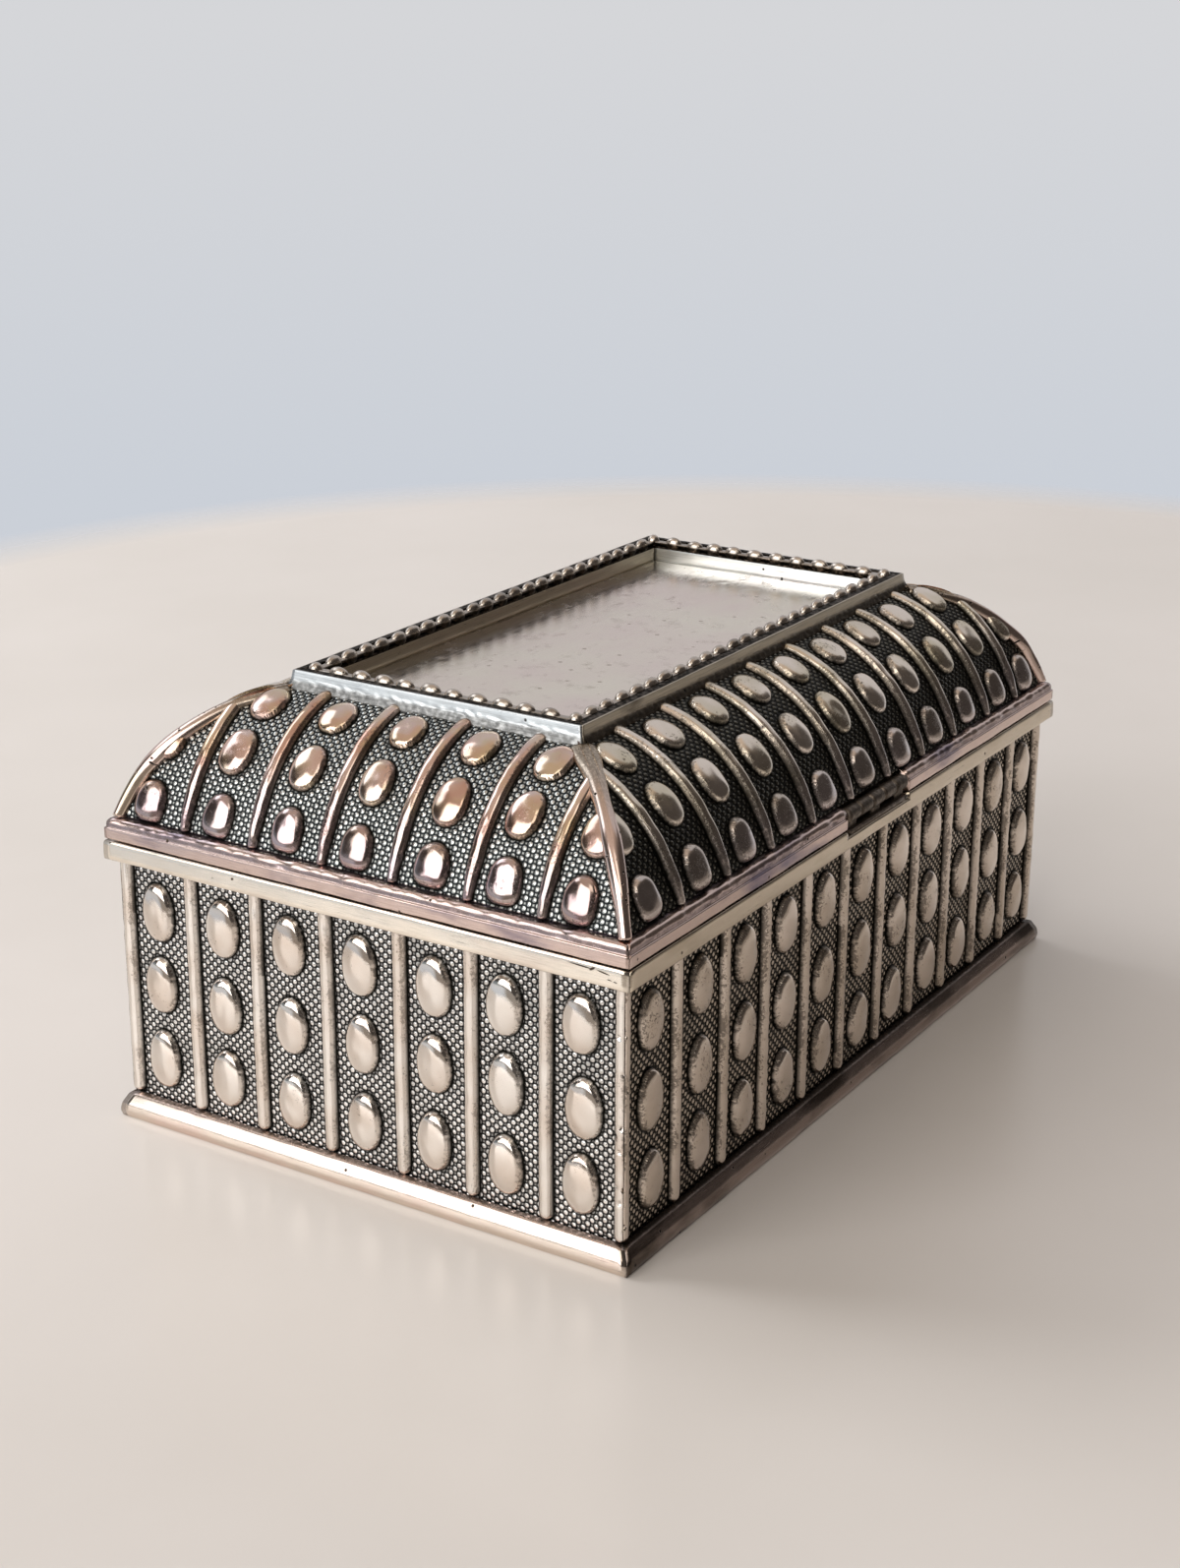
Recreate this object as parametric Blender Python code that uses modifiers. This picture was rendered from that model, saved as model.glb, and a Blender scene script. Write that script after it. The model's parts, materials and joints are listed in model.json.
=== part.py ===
"""Silver-plated trinket box: four relief walls on a plinth, and a coved lid on a back hinge.

Units are metres. +Z is up, X is the long way of the box, and +Y is the hinge side.
The origin is the middle of the base. Every side piece is modelled with its outer face
towards +Y and its length along X, and is then turned about Z to its own side.
"""

import math

import bmesh
import bpy
from mathutils import Matrix, Vector

# Overall sizes, taken over the crests of the wall ribs
BODY_LENGTH = 0.1247
BODY_WIDTH = 0.0790
BODY_HEIGHT = 0.0402

# Stock and joints
SHEET = 0.0013
SEAM = 0.0003
TINY = 0.000001

# Relief on the walls and the lid
RELIEF = 0.00095
RIB_WIDTH = 0.0019
CORNER_RIB_INSET = 0.00105
PANEL_PITCH = 0.0111
BOSS_WIDTH = 0.0052
BOSS_HEIGHT = 0.0082
BOSS_PROUD = 0.0013
BOSS_SINK = 0.0002
BOSS_ROWS = 3
BOSS_ROW_PITCH = 0.01085
BOSS_FIRST_ROW = 0.0093
OVAL_BACK_SHARE = 0.4

# Plinth
WALL_FOOT = 0.0003
PLINTH_HEIGHT = 0.00345
PLINTH_REACH = 0.00125
PLINTH_FACE_HEIGHT = 0.00175
PLINTH_STEP = 0.0003
PLINTH_LIP = 0.0002

# Rims on either side of the parting line
RIM_HEIGHT = 0.00265
RIM_REACH = 0.0013
RIM_DEPTH = 0.0032
RIM_BEVEL = 0.0005
LID_RIM_HEIGHT = 0.0027
LID_RIM_REACH = 0.0011
LID_RIM_CHAMFER = 0.0003
LID_RIM_BEAD = 0.00015
LID_RIM_BEAD_HEIGHT = 0.0008

# Coved lid
DOME_FOOT_INSET = 0.00125
DOME_RISE = 0.0163
DOME_EXPONENT = 1.7
DOME_STEPS = 7
LID_BOSS_WIDTH = 0.0048
LID_BOSS_LENGTHS = (0.0056, 0.0067, 0.0055)
LID_BOSS_ANGLES = (13.5, 42.0, 67.0)
HIP_RIB_WIDTH = 0.0024
HIP_RIB_ROUND = 0.0006

# Frame, bead border and plate on top of the lid
FRAME_INSET = 0.0169
FRAME_BAND = 0.00295
FRAME_HEIGHT = 0.0020
FRAME_LEDGE = 0.00135
FRAME_BEVEL = 0.0002
FRAME_GROOVE = 0.00085
FRAME_FLANGE = 0.0009
FRAME_FLANGE_DROP = 0.0021
BEAD_PITCH = 0.0035
BEAD_LENGTH = 0.0021
BEAD_WIDTH = 0.00125
BEAD_HEIGHT = 0.0019
BEAD_STRIP_WIDTH = 0.0013
BEAD_STRIP_HEIGHT = 0.0004
PLATE_THICKNESS = 0.0010
PLATE_RECESS = 0.0021

# Base and lining
FELT_THICKNESS = 0.0010
FLOOR_THICKNESS = 0.0010
LINER_THICKNESS = 0.0012
LINER_ROUND = 0.0003
FLOOR_PAD_EDGE = 0.0012
FLOOR_PAD_CROWN = 0.0010
LID_BOARD_THICKNESS = 0.0012
LID_BOARD_BELOW_DOME = 0.0002
LID_PAD_EDGE = 0.0007
LID_PAD_CROWN = 0.0005
PAD_MARGIN_SHARE = 0.12
PAD_ROUND_SHARE = 0.33

# Hinge
HINGE_OFFSET = -0.0019
HINGE_KNUCKLES = 5
KNUCKLE_LENGTH = 0.0033
KNUCKLE_RADIUS = 0.0011
PIN_RADIUS = 0.00045
PIN_HEAD = 0.0002
HINGE_AXIS_OUT = 0.0002
HINGE_AXIS_RISE = 0.0018
HINGE_LEAF = 0.0006
HINGE_LEAF_DEPTH = 0.0028
HINGE_WEB = 0.0009
HINGE_END_ROOM = 0.0007

# Mesh density
RIB_SIDES = 8
RIB_RINGS = 5
BOSS_SIDES = 8
BOSS_RINGS = 4
BEAD_SIDES = 6
BEAD_RINGS = 3
ROUND_SIDES = 12
ROUND_STEPS = 2
SHARP_DEGREES = 50
FACING_SHARE = 0.5

# Levels and planes that several pieces share
HALF_LENGTH = BODY_LENGTH / 2
HALF_WIDTH = BODY_WIDTH / 2
WALL_TOP = BODY_HEIGHT - RIM_HEIGHT - SEAM
WALL_INSIDE = RELIEF + SHEET
LID_BOTTOM = BODY_HEIGHT + SEAM
LID_RIM_TOP = LID_BOTTOM + LID_RIM_HEIGHT
DOME_FOOT = LID_RIM_TOP + SEAM
DOME_TOP = DOME_FOOT + DOME_RISE
DOME_REACH = FRAME_INSET + FRAME_BAND - FRAME_FLANGE - SEAM
FRAME_BOTTOM = DOME_TOP + SEAM
FRAME_TOP = FRAME_BOTTOM + FRAME_HEIGHT
GROOVE_FLOOR = FRAME_TOP - FRAME_GROOVE
PLATE_TOP = GROOVE_FLOOR - PLATE_RECESS
FLOOR_BOTTOM = FELT_THICKNESS + SEAM
LINING_BOTTOM = FLOOR_BOTTOM + FLOOR_THICKNESS + SEAM
LINER_OUTSIDE = WALL_INSIDE + SEAM
LINER_INSIDE = LINER_OUTSIDE + LINER_THICKNESS
HINGE_AXIS = Vector((HINGE_OFFSET, HALF_WIDTH + HINGE_AXIS_OUT, BODY_HEIGHT + HINGE_AXIS_RISE))
HINGE_LENGTH = HINGE_KNUCKLES * KNUCKLE_LENGTH + (HINGE_KNUCKLES - 1) * SEAM

# Turn about Z, half length along the side and distance from the middle to the rib crests
SIDES = {
    "back": (0.0, HALF_LENGTH, HALF_WIDTH),
    "left": (math.pi / 2, HALF_WIDTH, HALF_LENGTH),
    "front": (math.pi, HALF_LENGTH, HALF_WIDTH),
    "right": (-math.pi / 2, HALF_WIDTH, HALF_LENGTH),
}

# Signs of X and Y at each corner, and the turn that points +Y out through it
CORNERS = {
    "back_right": (1, 1, -math.pi / 4),
    "back_left": (-1, 1, math.pi / 4),
    "front_left": (-1, -1, 3 * math.pi / 4),
    "front_right": (1, -1, -3 * math.pi / 4),
}

# Maps an outline drawn as (out, up) and extruded along local Z to X along, Y out, Z up
OUTLINE_TO_SIDE = Matrix(((0, 0, 1, 0), (1, 0, 0, 0), (0, 1, 0, 0), (0, 0, 0, 1)))


def clear_scene():
    """Removes whatever the file holds."""
    for item in list(bpy.data.objects):
        bpy.data.objects.remove(item, do_unlink=True)


def new_collection(name):
    """A collection linked to the scene."""
    collection = bpy.data.collections.new(name)
    bpy.context.scene.collection.children.link(collection)
    return collection


def material(name, color, roughness, metallic):
    """A Principled material with the piece's own colour."""
    made = bpy.data.materials.new(name)
    made.use_nodes = True
    shader = made.node_tree.nodes["Principled BSDF"]
    shader.inputs["Base Color"].default_value = (*color, 1.0)
    shader.inputs["Roughness"].default_value = roughness
    shader.inputs["Metallic"].default_value = metallic
    made.diffuse_color = (*color, 1.0)
    return made


def silver_relief():
    """Cast silver plate, dark in its recesses."""
    return material("silver_relief", (0.33, 0.30, 0.28), 0.35, 1.0)


def silver_polished():
    """Plain silver plate of the rims and mouldings."""
    return material("silver_polished", (0.78, 0.72, 0.65), 0.25, 1.0)


def silver_tarnished():
    """Warm, lightly tarnished silver plate."""
    return material("silver_tarnished", (0.68, 0.58, 0.54), 0.35, 1.0)


def velvet():
    """Dark blue velvet of the lining."""
    return material("velvet", (0.02, 0.03, 0.10), 0.95, 0.0)


def felt():
    """Green felt under the base."""
    return material("felt", (0.02, 0.07, 0.05), 0.95, 0.0)


def card():
    """Grey card behind the lining."""
    return material("card", (0.42, 0.38, 0.32), 0.9, 0.0)


def steel():
    """Plain steel of the hinge pin."""
    return material("steel", (0.45, 0.43, 0.40), 0.4, 1.0)


def place(name, mesh, finish, parent, turn=0.0, location=(0.0, 0.0, 0.0)):
    """Makes a named piece, turned about Z and placed in the box's frame under its parent empty."""
    piece = bpy.data.objects.new(name, mesh)
    mesh.materials.clear()
    mesh.materials.append(finish)
    PIECES.objects.link(piece)
    piece.parent = parent
    piece.location = Vector(location) - parent.location
    piece.rotation_euler = (0.0, 0.0, turn)
    return piece


def mesh_from(name, bm):
    """Turns a bmesh into mesh data with its faces pointing out."""
    bmesh.ops.recalc_face_normals(bm, faces=bm.faces)
    mesh = bpy.data.meshes.new(name)
    bm.to_mesh(mesh)
    bm.free()
    return mesh


def evaluated_mesh(source):
    """The mesh of an object as its modifiers or curve settings leave it."""
    bpy.context.view_layer.update()
    graph = bpy.context.evaluated_depsgraph_get()
    return bpy.data.meshes.new_from_object(source.evaluated_get(graph))


def mesh_of_curve(name, curve):
    """The welded mesh of a curve, whose caps start loose."""
    holder = bpy.data.objects.new(name, curve)
    CUTTERS.objects.link(holder)
    mesh = evaluated_mesh(holder)
    bpy.data.objects.remove(holder, do_unlink=True)
    bm = bmesh.new()
    bm.from_mesh(mesh)
    bmesh.ops.remove_doubles(bm, verts=bm.verts, dist=TINY)
    return bm


def outline_prism(name, points, half_length):
    """A closed outline in (out, up), filled and drawn out along the side both ways."""
    curve = bpy.data.curves.new(name, "CURVE")
    curve.dimensions = "2D"
    curve.fill_mode = "BOTH"
    curve.extrude = half_length
    spline = curve.splines.new("POLY")
    spline.points.add(len(points) - 1)
    for point, (out, up) in zip(spline.points, points):
        point.co = (out, up, 0.0, 1.0)
    spline.use_cyclic_u = True
    bm = mesh_of_curve(name, curve)
    bmesh.ops.transform(bm, matrix=OUTLINE_TO_SIDE, verts=bm.verts)
    return bm


def cut_plane(bm, point, normal):
    """Cuts away what lies beyond a plane and closes the cut."""
    geometry = bm.verts[:] + bm.edges[:] + bm.faces[:]
    cut = bmesh.ops.bisect_plane(
        bm, geom=geometry, dist=TINY, plane_co=point, plane_no=normal, clear_outer=True
    )
    edges = [item for item in cut["geom_cut"] if isinstance(item, bmesh.types.BMEdge)]
    bmesh.ops.edgenet_fill(bm, edges=edges)


def mitre(bm, half_length, half_depth, clearance):
    """Cuts both ends at 45 degrees through the corners, a clearance short of them."""
    for sign in (1, -1):
        normal = Vector((sign, -1, 0)).normalized()
        corner = Vector((sign * half_length, half_depth, 0))
        cut_plane(bm, corner - normal * clearance, normal)


def boolean(base, other, operation):
    """The exact union, difference or intersection of two meshes, as a new bmesh."""
    holders = [bpy.data.objects.new("operand", mesh) for mesh in (base, other)]
    for holder in holders:
        CUTTERS.objects.link(holder)
    step = holders[0].modifiers.new("boolean", "BOOLEAN")
    step.operation = operation
    step.solver = "EXACT"
    step.object = holders[1]
    mesh = evaluated_mesh(holders[0])
    for holder in holders:
        bpy.data.objects.remove(holder, do_unlink=True)
    bm = bmesh.new()
    bm.from_mesh(mesh)
    bmesh.ops.remove_doubles(bm, verts=bm.verts, dist=TINY)
    return bm


def union(base, other):
    """Joins two overlapping bmeshes into one body."""
    return boolean(mesh_from("base", base), mesh_from("other", other), "UNION")


def difference(base, other):
    """Takes the second bmesh out of the first."""
    return boolean(mesh_from("base", base), mesh_from("other", other), "DIFFERENCE")


def add_box(bm, low, high):
    """Adds a box between two corners."""
    size = Vector(high) - Vector(low)
    middle = (Vector(high) + Vector(low)) / 2
    place_at = Matrix.Translation(middle) @ Matrix.Diagonal((*size, 1.0))
    bmesh.ops.create_cube(bm, size=1.0, matrix=place_at)


def add_rod(bm, start, length, radius):
    """Adds a round bar that runs along X from a point."""
    middle = Vector(start) + Vector((length / 2, 0, 0))
    place_at = Matrix.Translation(middle) @ Matrix.Rotation(math.pi / 2, 4, "Y")
    bmesh.ops.create_cone(
        bm,
        cap_ends=True,
        segments=ROUND_SIDES,
        radius1=radius,
        radius2=radius,
        depth=length,
        matrix=place_at,
    )


def add_oval(bm, place_at, half_sizes, sides, rings):
    """Adds an oval that swells along its placing matrix's third axis and is flatter behind."""
    made = bmesh.ops.create_uvsphere(bm, u_segments=sides, v_segments=rings, radius=1.0)
    for vert in made["verts"]:
        if vert.co.z < 0:
            vert.co.z *= OVAL_BACK_SHARE
    scale = Matrix.Diagonal((*half_sizes, 1.0))
    bmesh.ops.transform(bm, matrix=place_at @ scale, verts=made["verts"])


def box_mesh(name, low, high):
    """Mesh data of one box."""
    bm = bmesh.new()
    add_box(bm, low, high)
    return mesh_from(name, bm)


def round_edges(piece, width):
    """Rounds the sharp edges of a piece with a live Bevel."""
    step = piece.modifiers.new("rounded_edges", "BEVEL")
    step.width = width
    step.segments = ROUND_STEPS
    step.limit_method = "ANGLE"
    step.angle_limit = math.radians(SHARP_DEGREES)


def rib_places(half_length):
    """Places of the ribs along a side, evenly between its two corner ribs."""
    reach = half_length - CORNER_RIB_INSET
    panels = max(1, round(2 * reach / PANEL_PITCH))
    return [-reach + 2 * reach * index / panels for index in range(panels + 1)]


def panel_centres(half_length):
    """Middle of each panel between neighbouring ribs."""
    ribs = rib_places(half_length)
    return [(left + right) / 2 for left, right in zip(ribs, ribs[1:])]


def wall_relief(half_length, ground):
    """Upright half-round ribs with rounded feet, and three oval bosses in each panel."""
    bm = bmesh.new()
    radius = RIB_WIDTH / 2
    foot = PLINTH_HEIGHT + radius
    for along in rib_places(half_length):
        made = bmesh.ops.create_uvsphere(
            bm, u_segments=RIB_SIDES, v_segments=RIB_RINGS, radius=1.0
        )
        for vert in made["verts"]:
            level = WALL_TOP + RIB_WIDTH if vert.co.z > 0 else foot
            vert.co = Vector((
                along + vert.co.x * radius,
                ground + vert.co.y * RELIEF,
                level + vert.co.z * radius,
            ))
    face_out = Matrix.Rotation(-math.pi / 2, 4, "X")
    half_sizes = (BOSS_WIDTH / 2, BOSS_HEIGHT / 2, BOSS_PROUD + BOSS_SINK)
    for along in panel_centres(half_length):
        for row in range(BOSS_ROWS):
            up = BOSS_FIRST_ROW + row * BOSS_ROW_PITCH
            centre = Matrix.Translation((along, ground - BOSS_SINK, up))
            add_oval(bm, centre @ face_out, half_sizes, BOSS_SIDES, BOSS_RINGS)
    return bm


def wall(name, side, finish, parent):
    """One upright wall with its relief, mitred at both corners."""
    turn, half_length, half_depth = SIDES[side]
    ground = half_depth - RELIEF
    slab = bmesh.new()
    add_box(slab, (-half_length, ground - SHEET, WALL_FOOT), (half_length, ground, WALL_TOP))
    bm = union(slab, wall_relief(half_length, ground))
    cut_plane(bm, Vector((0, 0, WALL_TOP)), Vector((0, 0, 1)))
    mitre(bm, half_length, half_depth, SEAM / 2)
    return place(name, mesh_from(name, bm), finish, parent, turn)


def moulding(name, side, points, finish, parent):
    """A length of moulding: an outline in (out from the rib crests, up), mitred at both ends."""
    turn, half_length, half_depth = SIDES[side]
    reach = max(out for out, up in points)
    outline = [(half_depth + out, up) for out, up in points]
    bm = outline_prism(name, outline, half_length + reach + SHEET)
    mitre(bm, half_length, half_depth, SEAM / 2)
    return place(name, mesh_from(name, bm), finish, parent, turn)


def plinth_outline():
    """Upright lower face, a small step, then a band that leans in to the wall."""
    inside = SEAM - RELIEF
    return [
        (inside, 0.0),
        (PLINTH_REACH, 0.0),
        (PLINTH_REACH, PLINTH_FACE_HEIGHT),
        (PLINTH_REACH - PLINTH_STEP, PLINTH_FACE_HEIGHT + PLINTH_STEP),
        (PLINTH_LIP, PLINTH_HEIGHT - PLINTH_LIP),
        (inside, PLINTH_HEIGHT),
    ]


def rim_outline():
    """Body rim: upright face with a bevelled upper edge, reaching in over the lining."""
    low = BODY_HEIGHT - RIM_HEIGHT
    return [
        (-RIM_DEPTH, low),
        (RIM_REACH, low),
        (RIM_REACH, BODY_HEIGHT - RIM_BEVEL),
        (RIM_REACH - RIM_BEVEL, BODY_HEIGHT),
        (-RIM_DEPTH, BODY_HEIGHT),
    ]


def lid_rim_outline():
    """Lid rim: chamfered foot, upright face, a bead along the top edge and a flat ledge."""
    lip = LID_RIM_REACH + LID_RIM_BEAD
    return [
        (-RIM_DEPTH, LID_BOTTOM),
        (LID_RIM_REACH - LID_RIM_CHAMFER, LID_BOTTOM),
        (LID_RIM_REACH, LID_BOTTOM + LID_RIM_CHAMFER),
        (LID_RIM_REACH, LID_RIM_TOP - LID_RIM_BEAD_HEIGHT),
        (lip, LID_RIM_TOP - LID_RIM_BEAD_HEIGHT / 2),
        (LID_RIM_REACH - LID_RIM_BEAD, LID_RIM_TOP),
        (-RIM_DEPTH, LID_RIM_TOP),
    ]


def frame_outline():
    """Top frame: bevelled outer edge, flat ledge, bead groove and a flange down to the plate."""
    outer = -FRAME_INSET
    inner = outer - FRAME_BAND
    low = FRAME_BOTTOM - FRAME_FLANGE_DROP
    return [
        (outer, FRAME_BOTTOM),
        (outer, FRAME_TOP - FRAME_BEVEL),
        (outer - FRAME_BEVEL, FRAME_TOP),
        (outer - FRAME_LEDGE, FRAME_TOP),
        (outer - FRAME_LEDGE, GROOVE_FLOOR),
        (inner, GROOVE_FLOOR),
        (inner, low),
        (inner + FRAME_FLANGE, low),
        (inner + FRAME_FLANGE, FRAME_BOTTOM),
    ]


def cove_point(angle, foot_inset, top_inset, rise):
    """A point of the lid's cove as (inset, height): a superellipse from upright to level."""
    power = 2 / DOME_EXPONENT
    inward = 1 - math.cos(angle) ** power
    upward = math.sin(angle) ** power
    return (foot_inset + (top_inset - foot_inset) * inward, DOME_FOOT + rise * upward)


def cove(foot_inset, top_inset, rise):
    """Points of a whole cove, from its foot to its top, at even angles."""
    angles = [math.pi / 2 * step / DOME_STEPS for step in range(DOME_STEPS)]
    points = [cove_point(angle, foot_inset, top_inset, rise) for angle in angles]
    return points + [(top_inset, DOME_FOOT + rise)]


def ends_at(limit, line):
    """The part of a cove line outside an inset limit, with its last point on the limit."""
    kept = [point for point in line if point[0] < limit]
    outer, inner = kept[-1], line[len(kept)]
    share = (limit - outer[0]) / (inner[0] - outer[0])
    return kept + [(limit, outer[1] + share * (inner[1] - outer[1]))]


def ground_frame(angle, along, half_depth):
    """Place on the cove's outer ground at an angle: X along, Y up the cove, Z straight out of it."""
    step = math.radians(1)
    here = cove_point(angle, DOME_FOOT_INSET, DOME_REACH, DOME_RISE)
    there = cove_point(angle + step, DOME_FOOT_INSET, DOME_REACH, DOME_RISE)
    climb = Vector((0, here[0] - there[0], there[1] - here[1])).normalized()
    outward = Vector((1, 0, 0)).cross(climb)
    turned = Matrix((Vector((1, 0, 0)), climb, outward)).transposed().to_4x4()
    return Matrix.Translation((along, half_depth - here[0], here[1])) @ turned


def lid_ribs(half_length, half_depth):
    """Half-round ribs that follow the cove from its foot to just short of the frame."""
    bm = bmesh.new()
    ground = cove(DOME_FOOT_INSET, DOME_REACH, DOME_RISE)
    start = (DOME_FOOT_INSET, DOME_FOOT - RIB_WIDTH)
    path = [start] + ends_at(FRAME_INSET - SEAM, ground)
    for along in rib_places(half_length)[1:-1]:
        curve = bpy.data.curves.new("lid_rib", "CURVE")
        curve.dimensions = "3D"
        curve.bevel_depth = RIB_WIDTH / 2
        curve.bevel_resolution = 1
        curve.use_fill_caps = True
        spline = curve.splines.new("POLY")
        spline.points.add(len(path) - 1)
        for point, (inset, up) in zip(spline.points, path):
            point.co = (along, half_depth - inset, up, 1.0)
        rib = mesh_of_curve("lid_rib", curve)
        mesh = mesh_from("lid_rib", rib)
        bm.from_mesh(mesh)
    return bm


def lid_bosses(half_length, half_depth):
    """Three rows of oval bosses, at the same columns as the bosses of the wall below."""
    bm = bmesh.new()
    for along in panel_centres(half_length):
        for angle, length in zip(LID_BOSS_ANGLES, LID_BOSS_LENGTHS):
            half_sizes = (LID_BOSS_WIDTH / 2, length / 2, BOSS_PROUD + BOSS_SINK)
            inset, up = cove_point(math.radians(angle), DOME_FOOT_INSET, DOME_REACH, DOME_RISE)
            hip_room = half_length - inset - abs(along)
            if hip_room < 0:
                continue
            frame = ground_frame(math.radians(angle), along, half_depth)
            sunk = frame @ Matrix.Translation((0, 0, -BOSS_SINK))
            add_oval(bm, sunk, half_sizes, BOSS_SIDES, BOSS_RINGS)
    return bm


def lid_panel(name, side, finish, parent):
    """One coved side of the lid with its ribs and bosses, cut back to the hip ribs."""
    turn, half_length, half_depth = SIDES[side]
    outer = cove(DOME_FOOT_INSET, DOME_REACH, DOME_RISE)
    inner = cove(DOME_FOOT_INSET + SHEET, DOME_REACH, DOME_RISE - SHEET)
    outline = [(half_depth - inset, up) for inset, up in outer + inner[::-1]]
    bm = outline_prism(name, outline, half_length)
    bm = union(bm, lid_ribs(half_length, half_depth))
    bm = union(bm, lid_bosses(half_length, half_depth))
    cut_plane(bm, Vector((0, 0, DOME_FOOT)), Vector((0, 0, -1)))
    mitre(bm, half_length, half_depth, HIP_RIB_WIDTH / 2 + SEAM)
    return place(name, mesh_from(name, bm), finish, parent, turn)


def hip_rib(name, corner, finish, parent):
    """A rib along the hip between two lid panels, as thick as panel and relief together."""
    sign_x, sign_y, turn = CORNERS[corner]
    limit = FRAME_INSET - SEAM
    crest = ends_at(limit, cove(DOME_FOOT_INSET - RELIEF, DOME_REACH, DOME_RISE + SEAM))
    under = ends_at(limit, cove(DOME_FOOT_INSET + SHEET, DOME_REACH, DOME_RISE - SHEET))
    outline = [(-inset * math.sqrt(2), up) for inset, up in crest + under[::-1]]
    bm = outline_prism(name, outline, HIP_RIB_WIDTH / 2)
    location = (sign_x * HALF_LENGTH, sign_y * HALF_WIDTH, 0.0)
    piece = place(name, mesh_from(name, bm), finish, parent, turn, location)
    round_edges(piece, HIP_RIB_ROUND)
    return piece


def bead_strip(name, side, finish, parent):
    """A strip of spaced oval beads that lies in the frame's groove, mitred through corner beads."""
    turn, half_length, half_depth = SIDES[side]
    low = GROOVE_FLOOR + SEAM
    line_inset = FRAME_INSET + FRAME_LEDGE + SEAM + BEAD_STRIP_WIDTH / 2
    reach = half_length - line_inset
    out = half_depth - line_inset
    strip = bmesh.new()
    half_strip = BEAD_STRIP_WIDTH / 2
    add_box(
        strip,
        (-half_length, out - half_strip, low),
        (half_length, out + half_strip, low + BEAD_STRIP_HEIGHT),
    )
    beads = bmesh.new()
    count = max(1, round(2 * reach / BEAD_PITCH))
    half_sizes = (BEAD_LENGTH / 2, BEAD_WIDTH / 2, BEAD_HEIGHT / 2)
    for index in range(count + 1):
        along = -reach + 2 * reach * index / count
        centre = Matrix.Translation((along, out, low + BEAD_STRIP_HEIGHT))
        add_oval(beads, centre, half_sizes, BEAD_SIDES, BEAD_RINGS)
    bm = union(strip, beads)
    cut_plane(bm, Vector((0, 0, low)), Vector((0, 0, -1)))
    mitre(bm, half_length, half_depth, SEAM / 2)
    return place(name, mesh_from(name, bm), finish, parent, turn)


def top_plate(finish, parent):
    """The plain plate set down inside the frame."""
    inset = FRAME_INSET + FRAME_BAND + SEAM
    high = (HALF_LENGTH - inset, HALF_WIDTH - inset, PLATE_TOP)
    low = (-high[0], -high[1], PLATE_TOP - PLATE_THICKNESS)
    return place("top_plate", box_mesh("top_plate", low, high), finish, parent)


def flat_piece(name, inset, bottom, thickness, finish, parent):
    """A flat rectangular piece, an inset in from the rib crests."""
    high = (HALF_LENGTH - inset, HALF_WIDTH - inset, bottom + thickness)
    low = (-high[0], -high[1], bottom)
    return place(name, box_mesh(name, low, high), finish, parent)


def pad(name, inset, seat, edge, crown, finish, parent):
    """A crowned pad: a box whose face opposite its seat swells by the crown, softly rounded.

    A negative edge and crown make the pad hang below its seat.
    """
    half_x = HALF_LENGTH - inset
    half_y = HALF_WIDTH - inset
    bm = bmesh.new()
    low = (-half_x, -half_y, min(seat, seat + edge))
    high = (half_x, half_y, max(seat, seat + edge))
    add_box(bm, low, high)
    bm.normal_update()
    facing = math.copysign(1, edge)
    swelling = [face for face in bm.faces if face.normal.z * facing > FACING_SHARE]
    margin = PAD_MARGIN_SHARE * min(half_x, half_y)
    bmesh.ops.inset_region(bm, faces=swelling, thickness=margin, use_even_offset=True)
    for vert in {vert for face in swelling for vert in face.verts}:
        vert.co.z += crown
    piece = place(name, mesh_from(name, bm), finish, parent)
    round_edges(piece, abs(edge) * PAD_ROUND_SHARE)
    return piece


def wall_liner(name, side, finish, parent):
    """A velvet-covered card that stands inside one wall; the end ones fit between the long ones."""
    turn, half_length, half_depth = SIDES[side]
    end_inset = LINER_OUTSIDE if side in ("front", "back") else LINER_INSIDE + SEAM
    half = half_length - end_inset
    low = (-half, half_depth - LINER_INSIDE, LINING_BOTTOM)
    high = (half, half_depth - LINER_OUTSIDE, WALL_TOP)
    piece = place(name, box_mesh(name, low, high), finish, parent, turn)
    round_edges(piece, LINER_ROUND)
    return piece


def knuckle_starts(first):
    """Where every other knuckle starts along X, counted from the first or the second."""
    start = HINGE_OFFSET - HINGE_LENGTH / 2
    pitch = KNUCKLE_LENGTH + SEAM
    return [start + index * pitch for index in range(first, HINGE_KNUCKLES, 2)]


def drilled_hinge_half(leaf, starts, web_low, web_high):
    """A leaf joined by webs to its knuckles, with the pin hole through them."""
    webs = bmesh.new()
    knuckles = bmesh.new()
    for start in starts:
        add_box(webs, (start + SEAM, *web_low), (start + KNUCKLE_LENGTH - SEAM, *web_high))
        add_rod(knuckles, (start, HINGE_AXIS.y, HINGE_AXIS.z), KNUCKLE_LENGTH, KNUCKLE_RADIUS)
    hole = bmesh.new()
    hole_start = (HINGE_OFFSET - HINGE_LENGTH, HINGE_AXIS.y, HINGE_AXIS.z)
    add_rod(hole, hole_start, 2 * HINGE_LENGTH, PIN_RADIUS + SEAM)
    return difference(union(union(leaf, webs), knuckles), hole)


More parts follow.
